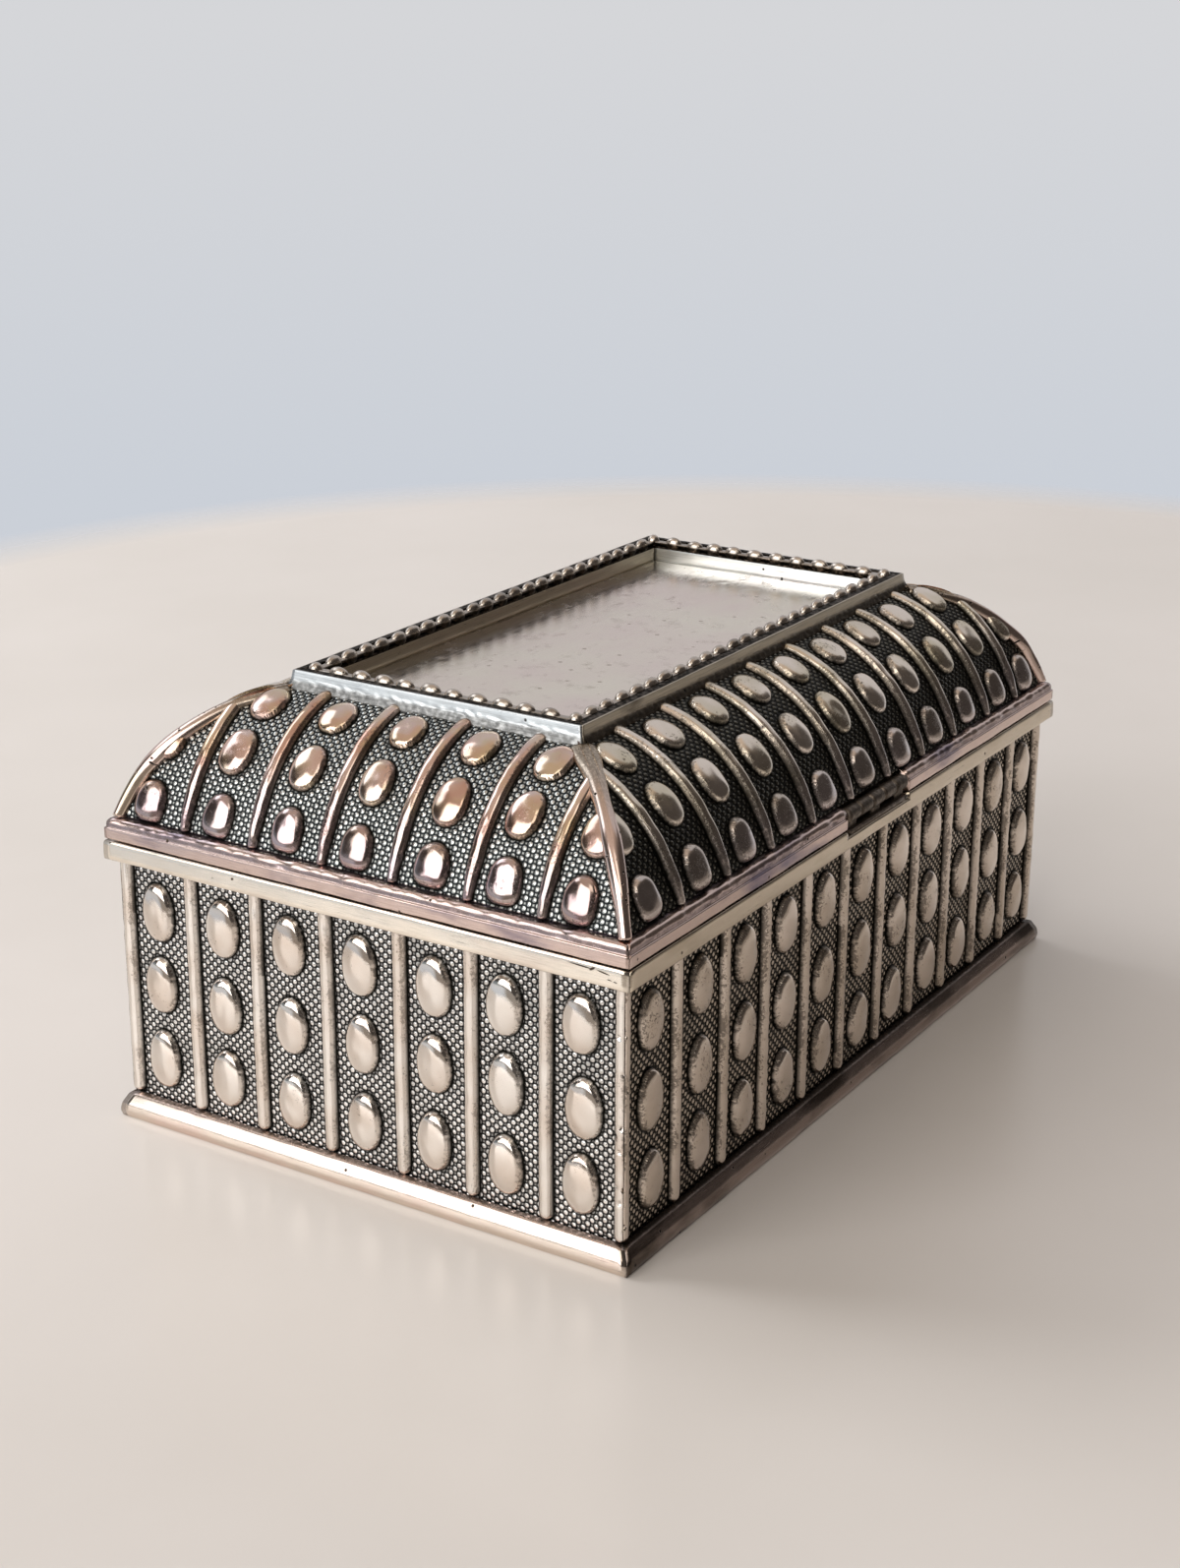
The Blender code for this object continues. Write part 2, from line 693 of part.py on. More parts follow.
def body_hinge(finish, parent):
    """Hinge half of the body: a leaf let into the rim's top and three knuckles above it."""
    half = HINGE_LENGTH / 2
    top = BODY_HEIGHT
    leaf = bmesh.new()
    leaf_out = HINGE_AXIS.y + HINGE_WEB / 2 + SEAM
    add_box(
        leaf,
        (HINGE_OFFSET - half, leaf_out - HINGE_LEAF_DEPTH, top - HINGE_LEAF),
        (HINGE_OFFSET + half, leaf_out, top),
    )
    web_low = (HINGE_AXIS.y - HINGE_WEB / 2, top - HINGE_LEAF / 2)
    web_high = (HINGE_AXIS.y + HINGE_WEB / 2, HINGE_AXIS.z)
    bm = drilled_hinge_half(leaf, knuckle_starts(0), web_low, web_high)
    return place("body_hinge_leaf", mesh_from("body_hinge_leaf", bm), finish, parent)


def lid_hinge(finish, parent):
    """Hinge half of the lid: an upright leaf behind the barrel and two knuckles."""
    half = HINGE_LENGTH / 2
    face = HINGE_AXIS.y - KNUCKLE_RADIUS - SEAM
    leaf = bmesh.new()
    add_box(
        leaf,
        (HINGE_OFFSET - half, face - HINGE_LEAF, HINGE_AXIS.z - KNUCKLE_RADIUS),
        (HINGE_OFFSET + half, face, HINGE_AXIS.z + KNUCKLE_RADIUS),
    )
    web_low = (face - HINGE_LEAF / 2, HINGE_AXIS.z - HINGE_WEB / 2)
    web_high = (HINGE_AXIS.y, HINGE_AXIS.z + HINGE_WEB / 2)
    bm = drilled_hinge_half(leaf, knuckle_starts(1), web_low, web_high)
    return place("lid_hinge_leaf", mesh_from("lid_hinge_leaf", bm), finish, parent)


def hinge_pin(finish, parent):
    """The pin through all the knuckles, with its ends just proud."""
    bm = bmesh.new()
    start = (HINGE_OFFSET - HINGE_LENGTH / 2 - PIN_HEAD, HINGE_AXIS.y, HINGE_AXIS.z)
    add_rod(bm, start, HINGE_LENGTH + 2 * PIN_HEAD, PIN_RADIUS)
    return place("hinge_pin", mesh_from("hinge_pin", bm), finish, parent)


def hinge_cutter(name, low_out, high_out, low_up, high_up):
    """A box-shaped cutter across the hinge's width, kept in the cutters' collection."""
    half = HINGE_LENGTH / 2 + HINGE_END_ROOM
    low = (HINGE_OFFSET - half, low_out, low_up)
    high = (HINGE_OFFSET + half, high_out, high_up)
    cutter = bpy.data.objects.new(name, box_mesh(name, low, high))
    CUTTERS.objects.link(cutter)
    cutter.hide_render = True
    cutter.display_type = "WIRE"
    return cutter


def cut_out(piece, cutter):
    """Cuts a piece with a live Boolean."""
    step = piece.modifiers.new("cut_out", "BOOLEAN")
    step.operation = "DIFFERENCE"
    step.solver = "EXACT"
    step.object = cutter


def make_room_for_hinge(body_rim, lid_rim):
    """A rebate in the body rim for the leaf, and a notch in the lid rim for the barrel."""
    beyond = HALF_WIDTH + RIM_REACH + SHEET
    leaf_back = HINGE_AXIS.y + HINGE_WEB / 2 - HINGE_LEAF_DEPTH
    rebate_floor = BODY_HEIGHT - HINGE_LEAF - SEAM
    rebate = hinge_cutter("leaf_rebate", leaf_back, beyond, rebate_floor, BODY_HEIGHT + SHEET)
    cut_out(body_rim, rebate)
    notch_back = HINGE_AXIS.y - KNUCKLE_RADIUS - HINGE_LEAF - 2 * SEAM
    notch = hinge_cutter("barrel_notch", notch_back, beyond, LID_BOTTOM - SHEET, LID_RIM_TOP + SHEET)
    cut_out(lid_rim, notch)


def empty(name, location):
    """An empty that carries one body of the box."""
    made = bpy.data.objects.new(name, None)
    made.location = location
    PIECES.objects.link(made)
    return made


def build():
    """Makes every piece of the body and the lid."""
    body = empty("body_frame", (0.0, 0.0, 0.0))
    lid = empty("lid_axis", HINGE_AXIS)
    relief, polished, tarnished = silver_relief(), silver_polished(), silver_tarnished()
    cloth, board, pin_metal = velvet(), card(), steel()
    rims = {}
    for side in SIDES:
        wall(f"{side}_wall", side, relief, body)
        moulding(f"plinth_{side}", side, plinth_outline(), polished, body)
        rims[side] = moulding(f"body_rim_{side}", side, rim_outline(), polished, body)
        wall_liner(f"{side}_liner", side, cloth, body)
        lid_panel(f"lid_panel_{side}", side, relief, lid)
        rims["lid", side] = moulding(f"lid_rim_{side}", side, lid_rim_outline(), tarnished, lid)
        moulding(f"top_frame_{side}", side, frame_outline(), polished, lid)
        bead_strip(f"bead_strip_{side}", side, relief, lid)
    for corner in CORNERS:
        hip_rib(f"hip_rib_{corner}", corner, tarnished, lid)
    flat_piece("base_felt", LINER_OUTSIDE, 0.0, FELT_THICKNESS, felt(), body)
    flat_piece("floor_plate", LINER_OUTSIDE, FLOOR_BOTTOM, FLOOR_THICKNESS, polished, body)
    floor_inset = LINER_INSIDE + SEAM
    pad("floor_pad", floor_inset, LINING_BOTTOM, FLOOR_PAD_EDGE, FLOOR_PAD_CROWN, cloth, body)
    top_plate(tarnished, lid)
    board_inset = RIM_DEPTH + SEAM
    board_top = DOME_FOOT - LID_BOARD_BELOW_DOME
    board_bottom = board_top - LID_BOARD_THICKNESS
    flat_piece("lid_board", board_inset, board_bottom, LID_BOARD_THICKNESS, board, lid)
    pad_seat = board_bottom - SEAM
    pad("lid_pad", board_inset, pad_seat, -LID_PAD_EDGE, -LID_PAD_CROWN, cloth, lid)
    body_hinge(tarnished, body)
    lid_hinge(tarnished, lid)
    hinge_pin(pin_metal, body)
    make_room_for_hinge(rims["back"], rims["lid", "back"])


clear_scene()
PIECES = new_collection("trinket_box")
CUTTERS = new_collection("cutters")
build()
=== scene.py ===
"""Finished surfaces of a silver-plated trinket box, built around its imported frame.

Lengths are metres. +Z is up, X is the long way of the box and +Y is its hinge side. A side piece
is worked out facing +Y, as (along, out, up), and is then turned about Z to its own side.
"""

import json
import math

import bpy
import numpy as np
from bpy.props import FloatProperty, FloatVectorProperty, PointerProperty
from mathutils import Matrix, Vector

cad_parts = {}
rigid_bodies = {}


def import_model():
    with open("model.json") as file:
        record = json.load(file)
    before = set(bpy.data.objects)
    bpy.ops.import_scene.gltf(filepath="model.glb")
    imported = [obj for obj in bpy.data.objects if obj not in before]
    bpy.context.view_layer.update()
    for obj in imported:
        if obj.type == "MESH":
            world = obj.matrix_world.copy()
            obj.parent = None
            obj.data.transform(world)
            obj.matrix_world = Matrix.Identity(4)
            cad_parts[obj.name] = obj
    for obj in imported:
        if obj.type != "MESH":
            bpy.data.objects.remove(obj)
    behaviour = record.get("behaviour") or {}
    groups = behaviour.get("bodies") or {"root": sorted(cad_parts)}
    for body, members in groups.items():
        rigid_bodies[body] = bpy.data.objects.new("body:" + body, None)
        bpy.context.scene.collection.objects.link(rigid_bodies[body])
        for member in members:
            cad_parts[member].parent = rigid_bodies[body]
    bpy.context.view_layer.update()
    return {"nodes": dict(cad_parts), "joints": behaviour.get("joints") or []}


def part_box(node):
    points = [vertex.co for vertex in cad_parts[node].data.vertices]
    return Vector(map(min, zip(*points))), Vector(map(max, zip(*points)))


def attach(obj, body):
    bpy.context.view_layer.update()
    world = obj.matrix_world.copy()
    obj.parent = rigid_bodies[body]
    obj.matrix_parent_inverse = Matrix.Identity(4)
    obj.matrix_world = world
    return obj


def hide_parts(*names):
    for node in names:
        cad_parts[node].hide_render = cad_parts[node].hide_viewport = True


bl_info = {
    "name": "Silver-plated trinket box",
    "version": (1, 0, 0),
    "blender": (4, 5, 0),
    "location": "3D View > Sidebar > Trinket box",
    "description": "Relief panels, mouldings, bead border, lining and hinge of a trinket box",
    "category": "Object",
}

for leftover in list(bpy.data.objects):
    bpy.data.objects.remove(leftover, do_unlink=True)
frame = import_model()

# Overhang of the body's rim past the rib crests, and what is read from the frame
RIM_REACH = 0.0013
HALF_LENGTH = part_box("body_rim_right")[1].x - RIM_REACH
HALF_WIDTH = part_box("body_rim_back")[1].y - RIM_REACH
WALL_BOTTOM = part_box("back_wall")[0].z
WALL_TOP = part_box("back_wall")[1].z
PLINTH_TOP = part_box("plinth_back")[1].z
RIM_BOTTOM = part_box("body_rim_back")[0].z
RIM_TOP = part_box("body_rim_front")[1].z
LID_RIM_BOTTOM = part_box("lid_rim_back")[0].z
LID_RIM_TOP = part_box("lid_rim_back")[1].z
DOME_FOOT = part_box("lid_panel_back")[0].z
DOME_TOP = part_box("lid_panel_back")[1].z
FRAME_INSET = HALF_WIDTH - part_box("top_frame_back")[1].y
FRAME_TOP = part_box("top_frame_back")[1].z
HINGE_X, HINGE_Y, HINGE_Z = frame["joints"][0]["pos_m"]

# Turn about Z, half length along the side, and distance from the middle to the rib crests
SIDES = {
    "back": (0.0, HALF_LENGTH, HALF_WIDTH),
    "left": (math.pi / 2, HALF_WIDTH, HALF_LENGTH),
    "front": (math.pi, HALF_LENGTH, HALF_WIDTH),
    "right": (-math.pi / 2, HALF_WIDTH, HALF_LENGTH),
}
LONG_SIDES = ("back", "front")

# Signs of X and Y at each corner
CORNERS = {
    "back_right": (1, 1),
    "back_left": (-1, 1),
    "front_left": (-1, -1),
    "front_right": (1, -1),
}

# How far the inner ribs, the wall bosses and the lid bosses lie off the even spacing: on an end,
# then on a long side
PANEL_SHIFTS = ((0.0, 0.00035, 0.0008), (-0.0013, 0.0, 0.0002))

# Start of each group's random draws, to which a side or corner adds its own number
SEEDS = {
    "lid_solder": 5,
    "frame_solder": 6,
    "lid_ledge": 8,
    "walls": 11,
    "lid_panels": 21,
    "plinth": 31,
    "body_rims": 41,
    "lid_rims": 51,
    "floor_pad": 71,
    "lid_pad": 73,
    "hip_ribs": 81,
    "top_frame": 91,
    "bead_border": 101,
    "top_plate": 111,
}

# Sides whose corner post is nicked, and the end of the side at which it stands
NICKED_POSTS = {"right": -1, "back": 1}

# Lid cove: a superellipse from an upright foot to a level top, with insets from the rib crests
COVE_FOOT_INSET = 0.00125
COVE_TOP_INSET = 0.01865
COVE_POWER = 1.7
COVE_FLARE = 0.0008
COVE_FLARE_RISE = 0.0055
COVE_TOP = DOME_TOP - 0.0005
COVE_STEPS = 600

# Bosses are ovals of this power, a little fuller than an ellipse
OVAL_POWER = 2.15

# Rows of lid bosses by run up the cove: middle, half height, power of the foot and level power
LID_BOSSES = (
    (0.0031, 0.0029, 3.2, 3.4),
    (0.01155, 0.00335, OVAL_POWER, None),
    (0.0198, 0.0030, OVAL_POWER, None),
)

# Scratches on the near end's rim: place along Y and up from the table, slope, half length and width
RIM_SCRATCHES = (
    (0.0341, 0.03958, 0.05, 0.0021, 0.00012),
    (0.0356, 0.03955, -0.55, 0.00055, 0.0002),
    (0.0371, 0.03940, 0.15, 0.0011, 0.00013),
    (0.0380, 0.03865, 0.05, 0.0004, 0.00008),
    (0.0388, 0.03855, 0.05, 0.00035, 0.00008),
)

# Hinge: thickness of a leaf, the knuckles, and the room round a leaf in its rim, along and out
HINGE_LEAF = 0.0006
KNUCKLES = 5
KNUCKLE_LENGTH = 0.0033
KNUCKLE_GAP = 0.0003
KNUCKLE_RADIUS = 0.0011
LEAF_ROOM = (0.0007, 0.0003)

# The photograph's height and its camera
PHOTO_HEIGHT_PX = 1594
FOCAL_PX = 2507.3
SENSOR_MM = 36.0
CAMERA_PLACE = (0.28744, 0.17640, 0.15366)
CAMERA_AZIMUTH = 122.24
CAMERA_ELEVATION = 19.059
CAMERA_ROLL = -0.198

# Lamps: place, size across, watts and colour
LAMPS = {
    "side": ((0.12, -0.90, 0.50), 0.60, 6.3, "#fdfcfc"),
    "window": ((0.75, -0.35, 0.60), 0.60, 0.3, "#fffcf8"),
}

FLOOR_CENTRE = (-0.11, -0.02, 0.0)
FLOOR_RADIUS = 0.29
FLOOR_FADE = 0.03

# Windows of the room: turn from and to, rise from and to, softness (all in degrees), strength, colour
WINDOWS = (
    (50, 106, 6, 44, 3, 3.1, "#fbf8f6"),
    (104, 140, 42, 64, 6, 1.7, "#f6eee2"),
    (-20, 22, 33, 48, 4, 2.5, "#eef3fa"),
)

# Points closer than this are one, and a mitred end stops this far before its plane
WELD_DISTANCE = 0.000001
SEAM = 0.00004


def length(name, description, default):
    """A size that a user may change, in metres."""
    return FloatProperty(name=name, description=description, default=default, unit="LENGTH", precision=5)


def linear(value):
    """The linear colour of an sRGB hex value, with full alpha."""
    parts = [int(value[start : start + 2], 16) / 255 for start in (1, 3, 5)]
    return (*(p / 12.92 if p <= 0.04045 else ((p + 0.055) / 1.055) ** 2.4 for p in parts), 1.0)


def shaded(colour, share):
    """A colour made darker or brighter by a share."""
    return (*(part * share for part in colour[:3]), 1.0)


def tinted(colour, tint, share):
    """A colour with a share of a tint in it."""
    return tuple(a + (b - a) * share for a, b in zip(colour, tint))


def tone(name, description, value):
    """A colour that a user may change, given as an sRGB hex value."""
    return FloatVectorProperty(
        name=name, description=description, default=linear(value)[:3], size=3, subtype="COLOR", min=0, max=1
    )


class ReliefSizes(bpy.types.PropertyGroup):
    """Sizes of the ribs, bosses and beaded ground."""

    ground: length("Ground depth", "How far the ground lies behind the rib crests", 0.00095)
    sheet: length("Sheet", "Thickness of the cast panel behind its ground", 0.0013)
    rib_width: length("Rib width", "Width of a half-round rib", 0.0020)
    corner_inset: length("Corner rib inset", "From the corner to the middle of the last rib", 0.0008)
    panel_pitch: length("Panel pitch", "Spacing of the ribs, before it is evened out", 0.0111)
    boss_width: length("Boss width", "Width of an oval boss on a wall", 0.0052)
    boss_height: length("Boss height", "Height of an oval boss on a wall", 0.0082)
    boss_proud: length("Boss relief", "How far a boss stands off its ground", 0.00128)
    boss_row: length("Boss rows", "Height from one row of bosses to the next", 0.01085)
    boss_first: length("First boss row", "Height of the lowest row of bosses", 0.0093)
    lid_boss_width: length("Lid boss width", "Width of an oval boss on the lid", 0.0049)
    lid_boss_proud: length("Lid boss relief", "How far a lid boss stands off its ground", 0.00112)
    bead_pitch: length("Bead pitch", "Spacing of the tiny beads of the ground", 0.0009)
    bead_relief: length("Bead relief", "How far a tiny bead stands off its ground", 0.00019)
    unevenness: length("Unevenness", "How far a rib or boss strays from its regular place", 0.00018)


class MouldingSizes(bpy.types.PropertyGroup):
    """Sizes of the plinth, the rims, the top frame and its beads."""

    plinth_reach: length("Plinth overhang", "Plinth face past the rib crests", 0.00125)
    plinth_face: length("Plinth face", "Height of the plinth's upright face", 0.0018)
    lid_reach: length("Lid rim overhang", "Lid rim face past the rib crests", 0.0011)
    rim_depth: length("Rim depth", "How far both rims reach in past the rib crests", 0.0032)
    dent: length("Dents", "Depth of the slow waves in the mouldings", 0.00004)
    frame_band: length("Frame band", "Width of the top frame", 0.00295)
    frame_ledge: length("Frame ledge", "Width of the frame's flat outer ledge", 0.00135)
    groove: length("Bead groove", "Depth of the groove that holds the beads", 0.00085)
    bead_pitch: length("Bead spacing", "Spacing of the border's oval beads", 0.0036)
    bead_length: length("Bead length", "Length of a border bead", 0.0029)
    bead_width: length("Bead width", "Width of a border bead", 0.0017)


class LiningSizes(bpy.types.PropertyGroup):
    """Sizes of the velvet lining."""

    card_round: length("Card rounding", "Rounding of the velvet-covered cards", 0.0005)
    tuck: length("Tuck", "Width of the pads' turned-in edge", 0.0060)
    pucker: length("Pucker", "Depth of the pads' small folds", 0.00012)


class SilverTones(bpy.types.PropertyGroup):
    """Colours of the plate, fresh, warm and blackened."""

    fresh: tone("Fresh silver", "Rubbed plate", "#f2ece5")
    cream: tone("Cream", "Warm, lightly toned plate", "#e3d6ca")
    blush: tone("Blush", "Pale pink toning", "#ead3c9")
    rose: tone("Rose", "Pink and copper toning", "#d6ab99")
    straw: tone("Straw", "First thin yellow toning", "#dfcfa6")
    lilac: tone("Lilac", "Violet toning", "#a195a3")
    cool: tone("Cool grey", "Dull brushed plate", "#e2e8ea")
    ash: tone("Ash", "Tips of the tiny beads where the black was little rubbed", "#6c6a62")
    smoke: tone("Smoke", "Thin oxide and polish residue", "#54493f")
    black: tone("Black", "Oxide in the recesses", "#161511")


def tones_of(context):
    """The silver colours by name."""
    held = context.scene.trinket_tones
    return {key: (*getattr(held, key), 1.0) for key in SilverTones.__annotations__}


# Numbers and meshes


def ripple(seed, first, second, wavelength, waves=8):
    """A smooth uneven value of about -1 to 1: a sum of sine waves in random directions and phases."""
    rng = np.random.default_rng(seed)
    total = np.zeros(np.broadcast(first, second).shape)
    for _ in range(waves):
        angle, phase = rng.uniform(0, 2 * np.pi, 2)
        turns = 2 * np.pi / (wavelength * rng.uniform(0.7, 1.6))
        total += np.sin((first * np.cos(angle) + second * np.sin(angle)) * turns + phase)
    return total / np.sqrt(2 * waves)


def smoothstep(value):
    """0 below 0, 1 above 1, and the cubic 3t^2 - 2t^3 between."""
    t = np.clip(value, 0, 1)
    return t * t * (3 - 2 * t)


def near(value, centre, width):
    """1 at a centre, falling to 0 a width away, as a cosine hump."""
    return 0.5 + 0.5 * np.cos(np.pi * np.clip(np.abs(value - centre) / width, 0, 1))


def turned(points, turn):
    """Points turned about Z."""
    c, s = math.cos(turn), math.sin(turn)
    x, y = points[..., 0] * c - points[..., 1] * s, points[..., 0] * s + points[..., 1] * c
    return np.stack([x, y, points[..., 2]], -1)


def grid_quads(rows, columns, wrap_rows=False, wrap_columns=False):
    """Faces of a grid of points numbered row by row, facing (row step) x (column step)."""
    row = np.arange(rows if wrap_rows else rows - 1)[:, None]
    column = np.arange(columns if wrap_columns else columns - 1)[None, :]
    up, right = (row + 1) % rows, (column + 1) % columns
    corners = (row * columns + column, up * columns + column, up * columns + right, row * columns + right)
    return np.stack(corners, -1).reshape(-1, 4)


def welded(points, quads):
    """Merges points that coincide. A face that loses a corner becomes a triangle, or goes."""
    keys = np.round(points / WELD_DISTANCE).astype(np.int64)
    _, first, group = np.unique(keys, axis=0, return_index=True, return_inverse=True)
    group = group.reshape(-1)
    faces = group[quads]
    same = faces == np.roll(faces, -1, axis=1)
    lost = same.sum(1)
    crossed = (faces[:, 0] == faces[:, 2]) | (faces[:, 1] == faces[:, 3])
    kept = faces[(lost == 0) & ~crossed]
    thirds = [np.delete(faces[(lost == 1) & same[:, k]], k, axis=1) for k in range(4)]
    return first, group, kept, np.concatenate(thirds)


def mesh_of(points, quads, ends=(), fields=None):
    """A smooth mesh from a point array and four-cornered faces; ends are flat faces that close it.

    fields are point attributes: one number or one vector for each point. Without any, the places
    themselves are the surface coordinates, and the piece is clean.
    """
    points = points.reshape(-1, 3)
    fields = fields or {"surface": points, "grime": np.zeros(len(points))}
    first, group, kept, thirds = welded(points, quads)
    ends = [group[np.asarray(end)] for end in ends]
    corners = np.concatenate([kept.ravel(), thirds.ravel(), *ends])
    sizes = np.concatenate([np.full(len(kept), 4), np.full(len(thirds), 3), [len(e) for e in ends]])
    mesh = bpy.data.meshes.new("piece")
    mesh.vertices.add(len(first))
    mesh.vertices.foreach_set("co", points[first].astype(np.float32).ravel())
    mesh.loops.add(len(corners))
    mesh.loops.foreach_set("vertex_index", corners.astype(np.int32))
    mesh.polygons.add(len(sizes))
    mesh.polygons.foreach_set("loop_start", np.r_[0, np.cumsum(sizes)[:-1]].astype(np.int32))
    smooth = np.ones(len(sizes), bool)
    smooth[len(sizes) - len(ends) :] = False
    mesh.polygons.foreach_set("use_smooth", smooth)
    mesh.update(calc_edges=True)
    for key, values in fields.items():
        wide = values.size == points.size
        made = mesh.attributes.new(key, "FLOAT_VECTOR" if wide else "FLOAT", "POINT")
        flat = values.reshape(-1, 3) if wide else values.reshape(-1)
        made.data.foreach_set("vector" if wide else "value", flat[first].astype(np.float32).ravel())
    return mesh


def drawn_mesh(points, fields, flipped=False):
    """A mesh of a closed outline carried along a line, points by outline and station, with flat ends."""
    rows, columns = points.shape[:2]
    quads = grid_quads(rows, columns, wrap_rows=True)
    loop = np.arange(rows) * columns
    ends = [loop[::-1], loop + columns - 1]
    if flipped:
        quads, ends = quads[:, ::-1], [end[::-1] for end in ends]
    return mesh_of(points, quads, ends, fields)


def shells(*parts):
    """Joins (points, quads) bodies into one pair of arrays."""
    points, quads, offset = [], [], 0
    for body_points, body_quads in parts:
        points.append(body_points)
        quads.append(body_quads + offset)
        offset += len(body_points)
    return np.concatenate(points), np.concatenate(quads)


def rounded_box(low, high, radius):
    """A closed box whose edges are rounded: a ball of the radius split apart along X, Y and Z.

    Directions of a latitude and longitude grid give the ball; each point moves out by the sign of
    its direction times the half size less the radius.
    """
    low, high = np.array(low, float), np.array(high, float)
    half, middle = (high - low) / 2, (high + low) / 2
    arc = 3
    radius = min(radius, *half)
    quarter = np.linspace(0, np.pi / 2, arc + 1)
    tilt = np.r_[quarter, quarter + np.pi / 2]
    around = np.concatenate([quarter + k * np.pi / 2 for k in range(4)])
    p, q = np.meshgrid(tilt, around, indexing="ij")
    signs_x = np.repeat([1, -1, -1, 1], arc + 1)[None, :] + 0 * p
    signs_y = np.repeat([1, 1, -1, -1], arc + 1)[None, :] + 0 * p
    signs_z = np.repeat([1, -1], arc + 1)[:, None] + 0 * q
    ball = np.stack([np.sin(p) * np.cos(q), np.sin(p) * np.sin(q), np.cos(p)], -1) * radius
    core = np.stack([signs_x, signs_y, signs_z], -1) * (half - radius)
    pole = np.repeat((np.array([0, 0, 1]) * half)[None, None], len(around), axis=1)
    points = np.concatenate([pole, ball + core, -pole]) + middle
    quads = grid_quads(len(points), len(around), wrap_columns=True)
    return points.reshape(-1, 3), quads


def oval_bodies(centres, half_sizes, rings, sides):
    """Closed ovals at their centres: x = a sin(p) cos(q), y = b sin(p) sin(q), z = c cos(p)."""
    p = np.linspace(0, np.pi, rings + 1)[:, None]
    q = np.linspace(0, 2 * np.pi, sides, endpoint=False)[None, :]
    unit = np.stack([np.sin(p) * np.cos(q), np.sin(p) * np.sin(q), np.cos(p) + 0 * q], -1)
    placed = unit[None] * half_sizes[:, None, None, :] + centres[:, None, None, :]
    quads = grid_quads(rings + 1, sides, wrap_columns=True)
    each = (rings + 1) * sides
    quads = (quads[None] + np.arange(len(centres))[:, None, None] * each).reshape(-1, 4)
    return placed.reshape(-1, 3), quads


def turned_body(stations, radii, sides=24):
    """A round bar on the hinge's line: a circle at each station, and a point at both ends."""
    stations = np.r_[stations[0], stations, stations[-1]]
    radii = np.r_[0, radii, 0]
    q = np.linspace(0, 2 * np.pi, sides, endpoint=False)[None, :]
    x = stations[:, None] + 0 * q
    y = HINGE_Y + radii[:, None] * np.cos(q)
    z = HINGE_Z + radii[:, None] * np.sin(q)
    quads = grid_quads(len(stations), sides, wrap_columns=True)[:, ::-1]
    return np.stack([x, y, z], -1).reshape(-1, 3), quads


def sheet_grid(node, spacing):
    """Corners of a flat piece's box, and a grid of places (x, y) over it, about a spacing apart."""
    low, high = (np.array(corner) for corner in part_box(node))
    columns, rows = (round((high - low)[k] / spacing) for k in (0, 1))
    x, y = np.meshgrid(np.linspace(low[0], high[0], columns), np.linspace(low[1], high[1], rows))
    return low, high, x, y


def edge_loop(rows, columns):
    """Point numbers round the edge of a grid, along its first row first."""
    bottom = np.arange(columns)
    right = np.arange(1, rows) * columns + columns - 1
    top = np.arange(columns - 2, -1, -1) + (rows - 1) * columns
    left = np.arange(rows - 2, 0, -1) * columns
    return np.concatenate([bottom, right, top, left])


def slab_mesh(x, y, face, seat, facing):
    """A closed slab between an uneven face and a flat seat, whose face looks up (1) or down (-1)."""
    points = np.concatenate([np.stack([x, y, level], -1).reshape(-1, 3) for level in (face, seat + 0 * x)])
    ring = edge_loop(*x.shape)
    following = np.roll(ring, -1)
    band = np.stack([ring, following, following + x.size, ring + x.size], -1)
    faces, band = grid_quads(*x.shape)[:, ::-facing], band[:, ::-facing]
    return mesh_of(points, np.concatenate([faces, faces[:, ::-1] + x.size, band]))


def cut_out(mesh, low, high):
    """The mesh with a box between two corners taken out of it by a Boolean."""
    points, quads = rounded_box(low, high, 0.00002)
    cutter = bpy.data.objects.new("cutter", mesh_of(points, quads))
    whole = bpy.data.objects.new("whole", mesh)
    for piece in (cutter, whole):
        bpy.context.scene.collection.objects.link(piece)
    notch = whole.modifiers.new("notch", "BOOLEAN")
    notch.object = cutter
    notch.operation = "DIFFERENCE"
    notch.solver = "EXACT"
    depsgraph = bpy.context.evaluated_depsgraph_get()
    made = bpy.data.meshes.new_from_object(whole.evaluated_get(depsgraph), depsgraph=depsgraph)
    for piece in (cutter, whole):
        bpy.data.objects.remove(piece)
    return made


def finished(name, mesh, material, body, node):
    """Adds a piece with its material, riding on its body in place of its plain node."""
    piece = bpy.data.objects.new(name, mesh)
    mesh.name = name
    mesh.materials.append(material)
    bpy.context.scene.collection.objects.link(piece)
    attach(piece, body)
    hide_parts(node)
    return piece


def finished_sides(name, build, materials, body, node):
    """Adds a piece on each side: build(side, index) gives its mesh; materials are (end, long side)."""
    for index, side in enumerate(SIDES):
        made = materials[side in LONG_SIDES]
        finished(name.format(side), build(side, index), made, body, node.format(side))


def dressed(node, material):
    """Gives a plain piece of the frame its material."""
    held = frame["nodes"][node].data.materials
    held.clear()
    held.append(material)


# Materials


def set_inputs(tree, node, inputs):
    """Sets a node's inputs by number or name; each is a value or the socket it is linked from."""
    for key, value in inputs.items():
        if isinstance(value, bpy.types.NodeSocket):
            tree.links.new(value, node.inputs[key])
        else:
            node.inputs[key].default_value = value


def add_node(tree, kind, inputs=(), output=0, **settings):
    """Adds a node and returns one of its outputs; a plain list gives its first inputs in order."""
    node = tree.nodes.new(f"ShaderNode{kind}")
    for key, value in settings.items():
        setattr(node, key, value)
    set_inputs(tree, node, inputs if isinstance(inputs, dict) else dict(enumerate(inputs)))
    return node.outputs[output]


def new_material(name):
    """A new material, its node tree and its shader."""
    made = bpy.data.materials.new(name)
    made.use_nodes = True
    return made, made.node_tree, made.node_tree.nodes["Principled BSDF"]


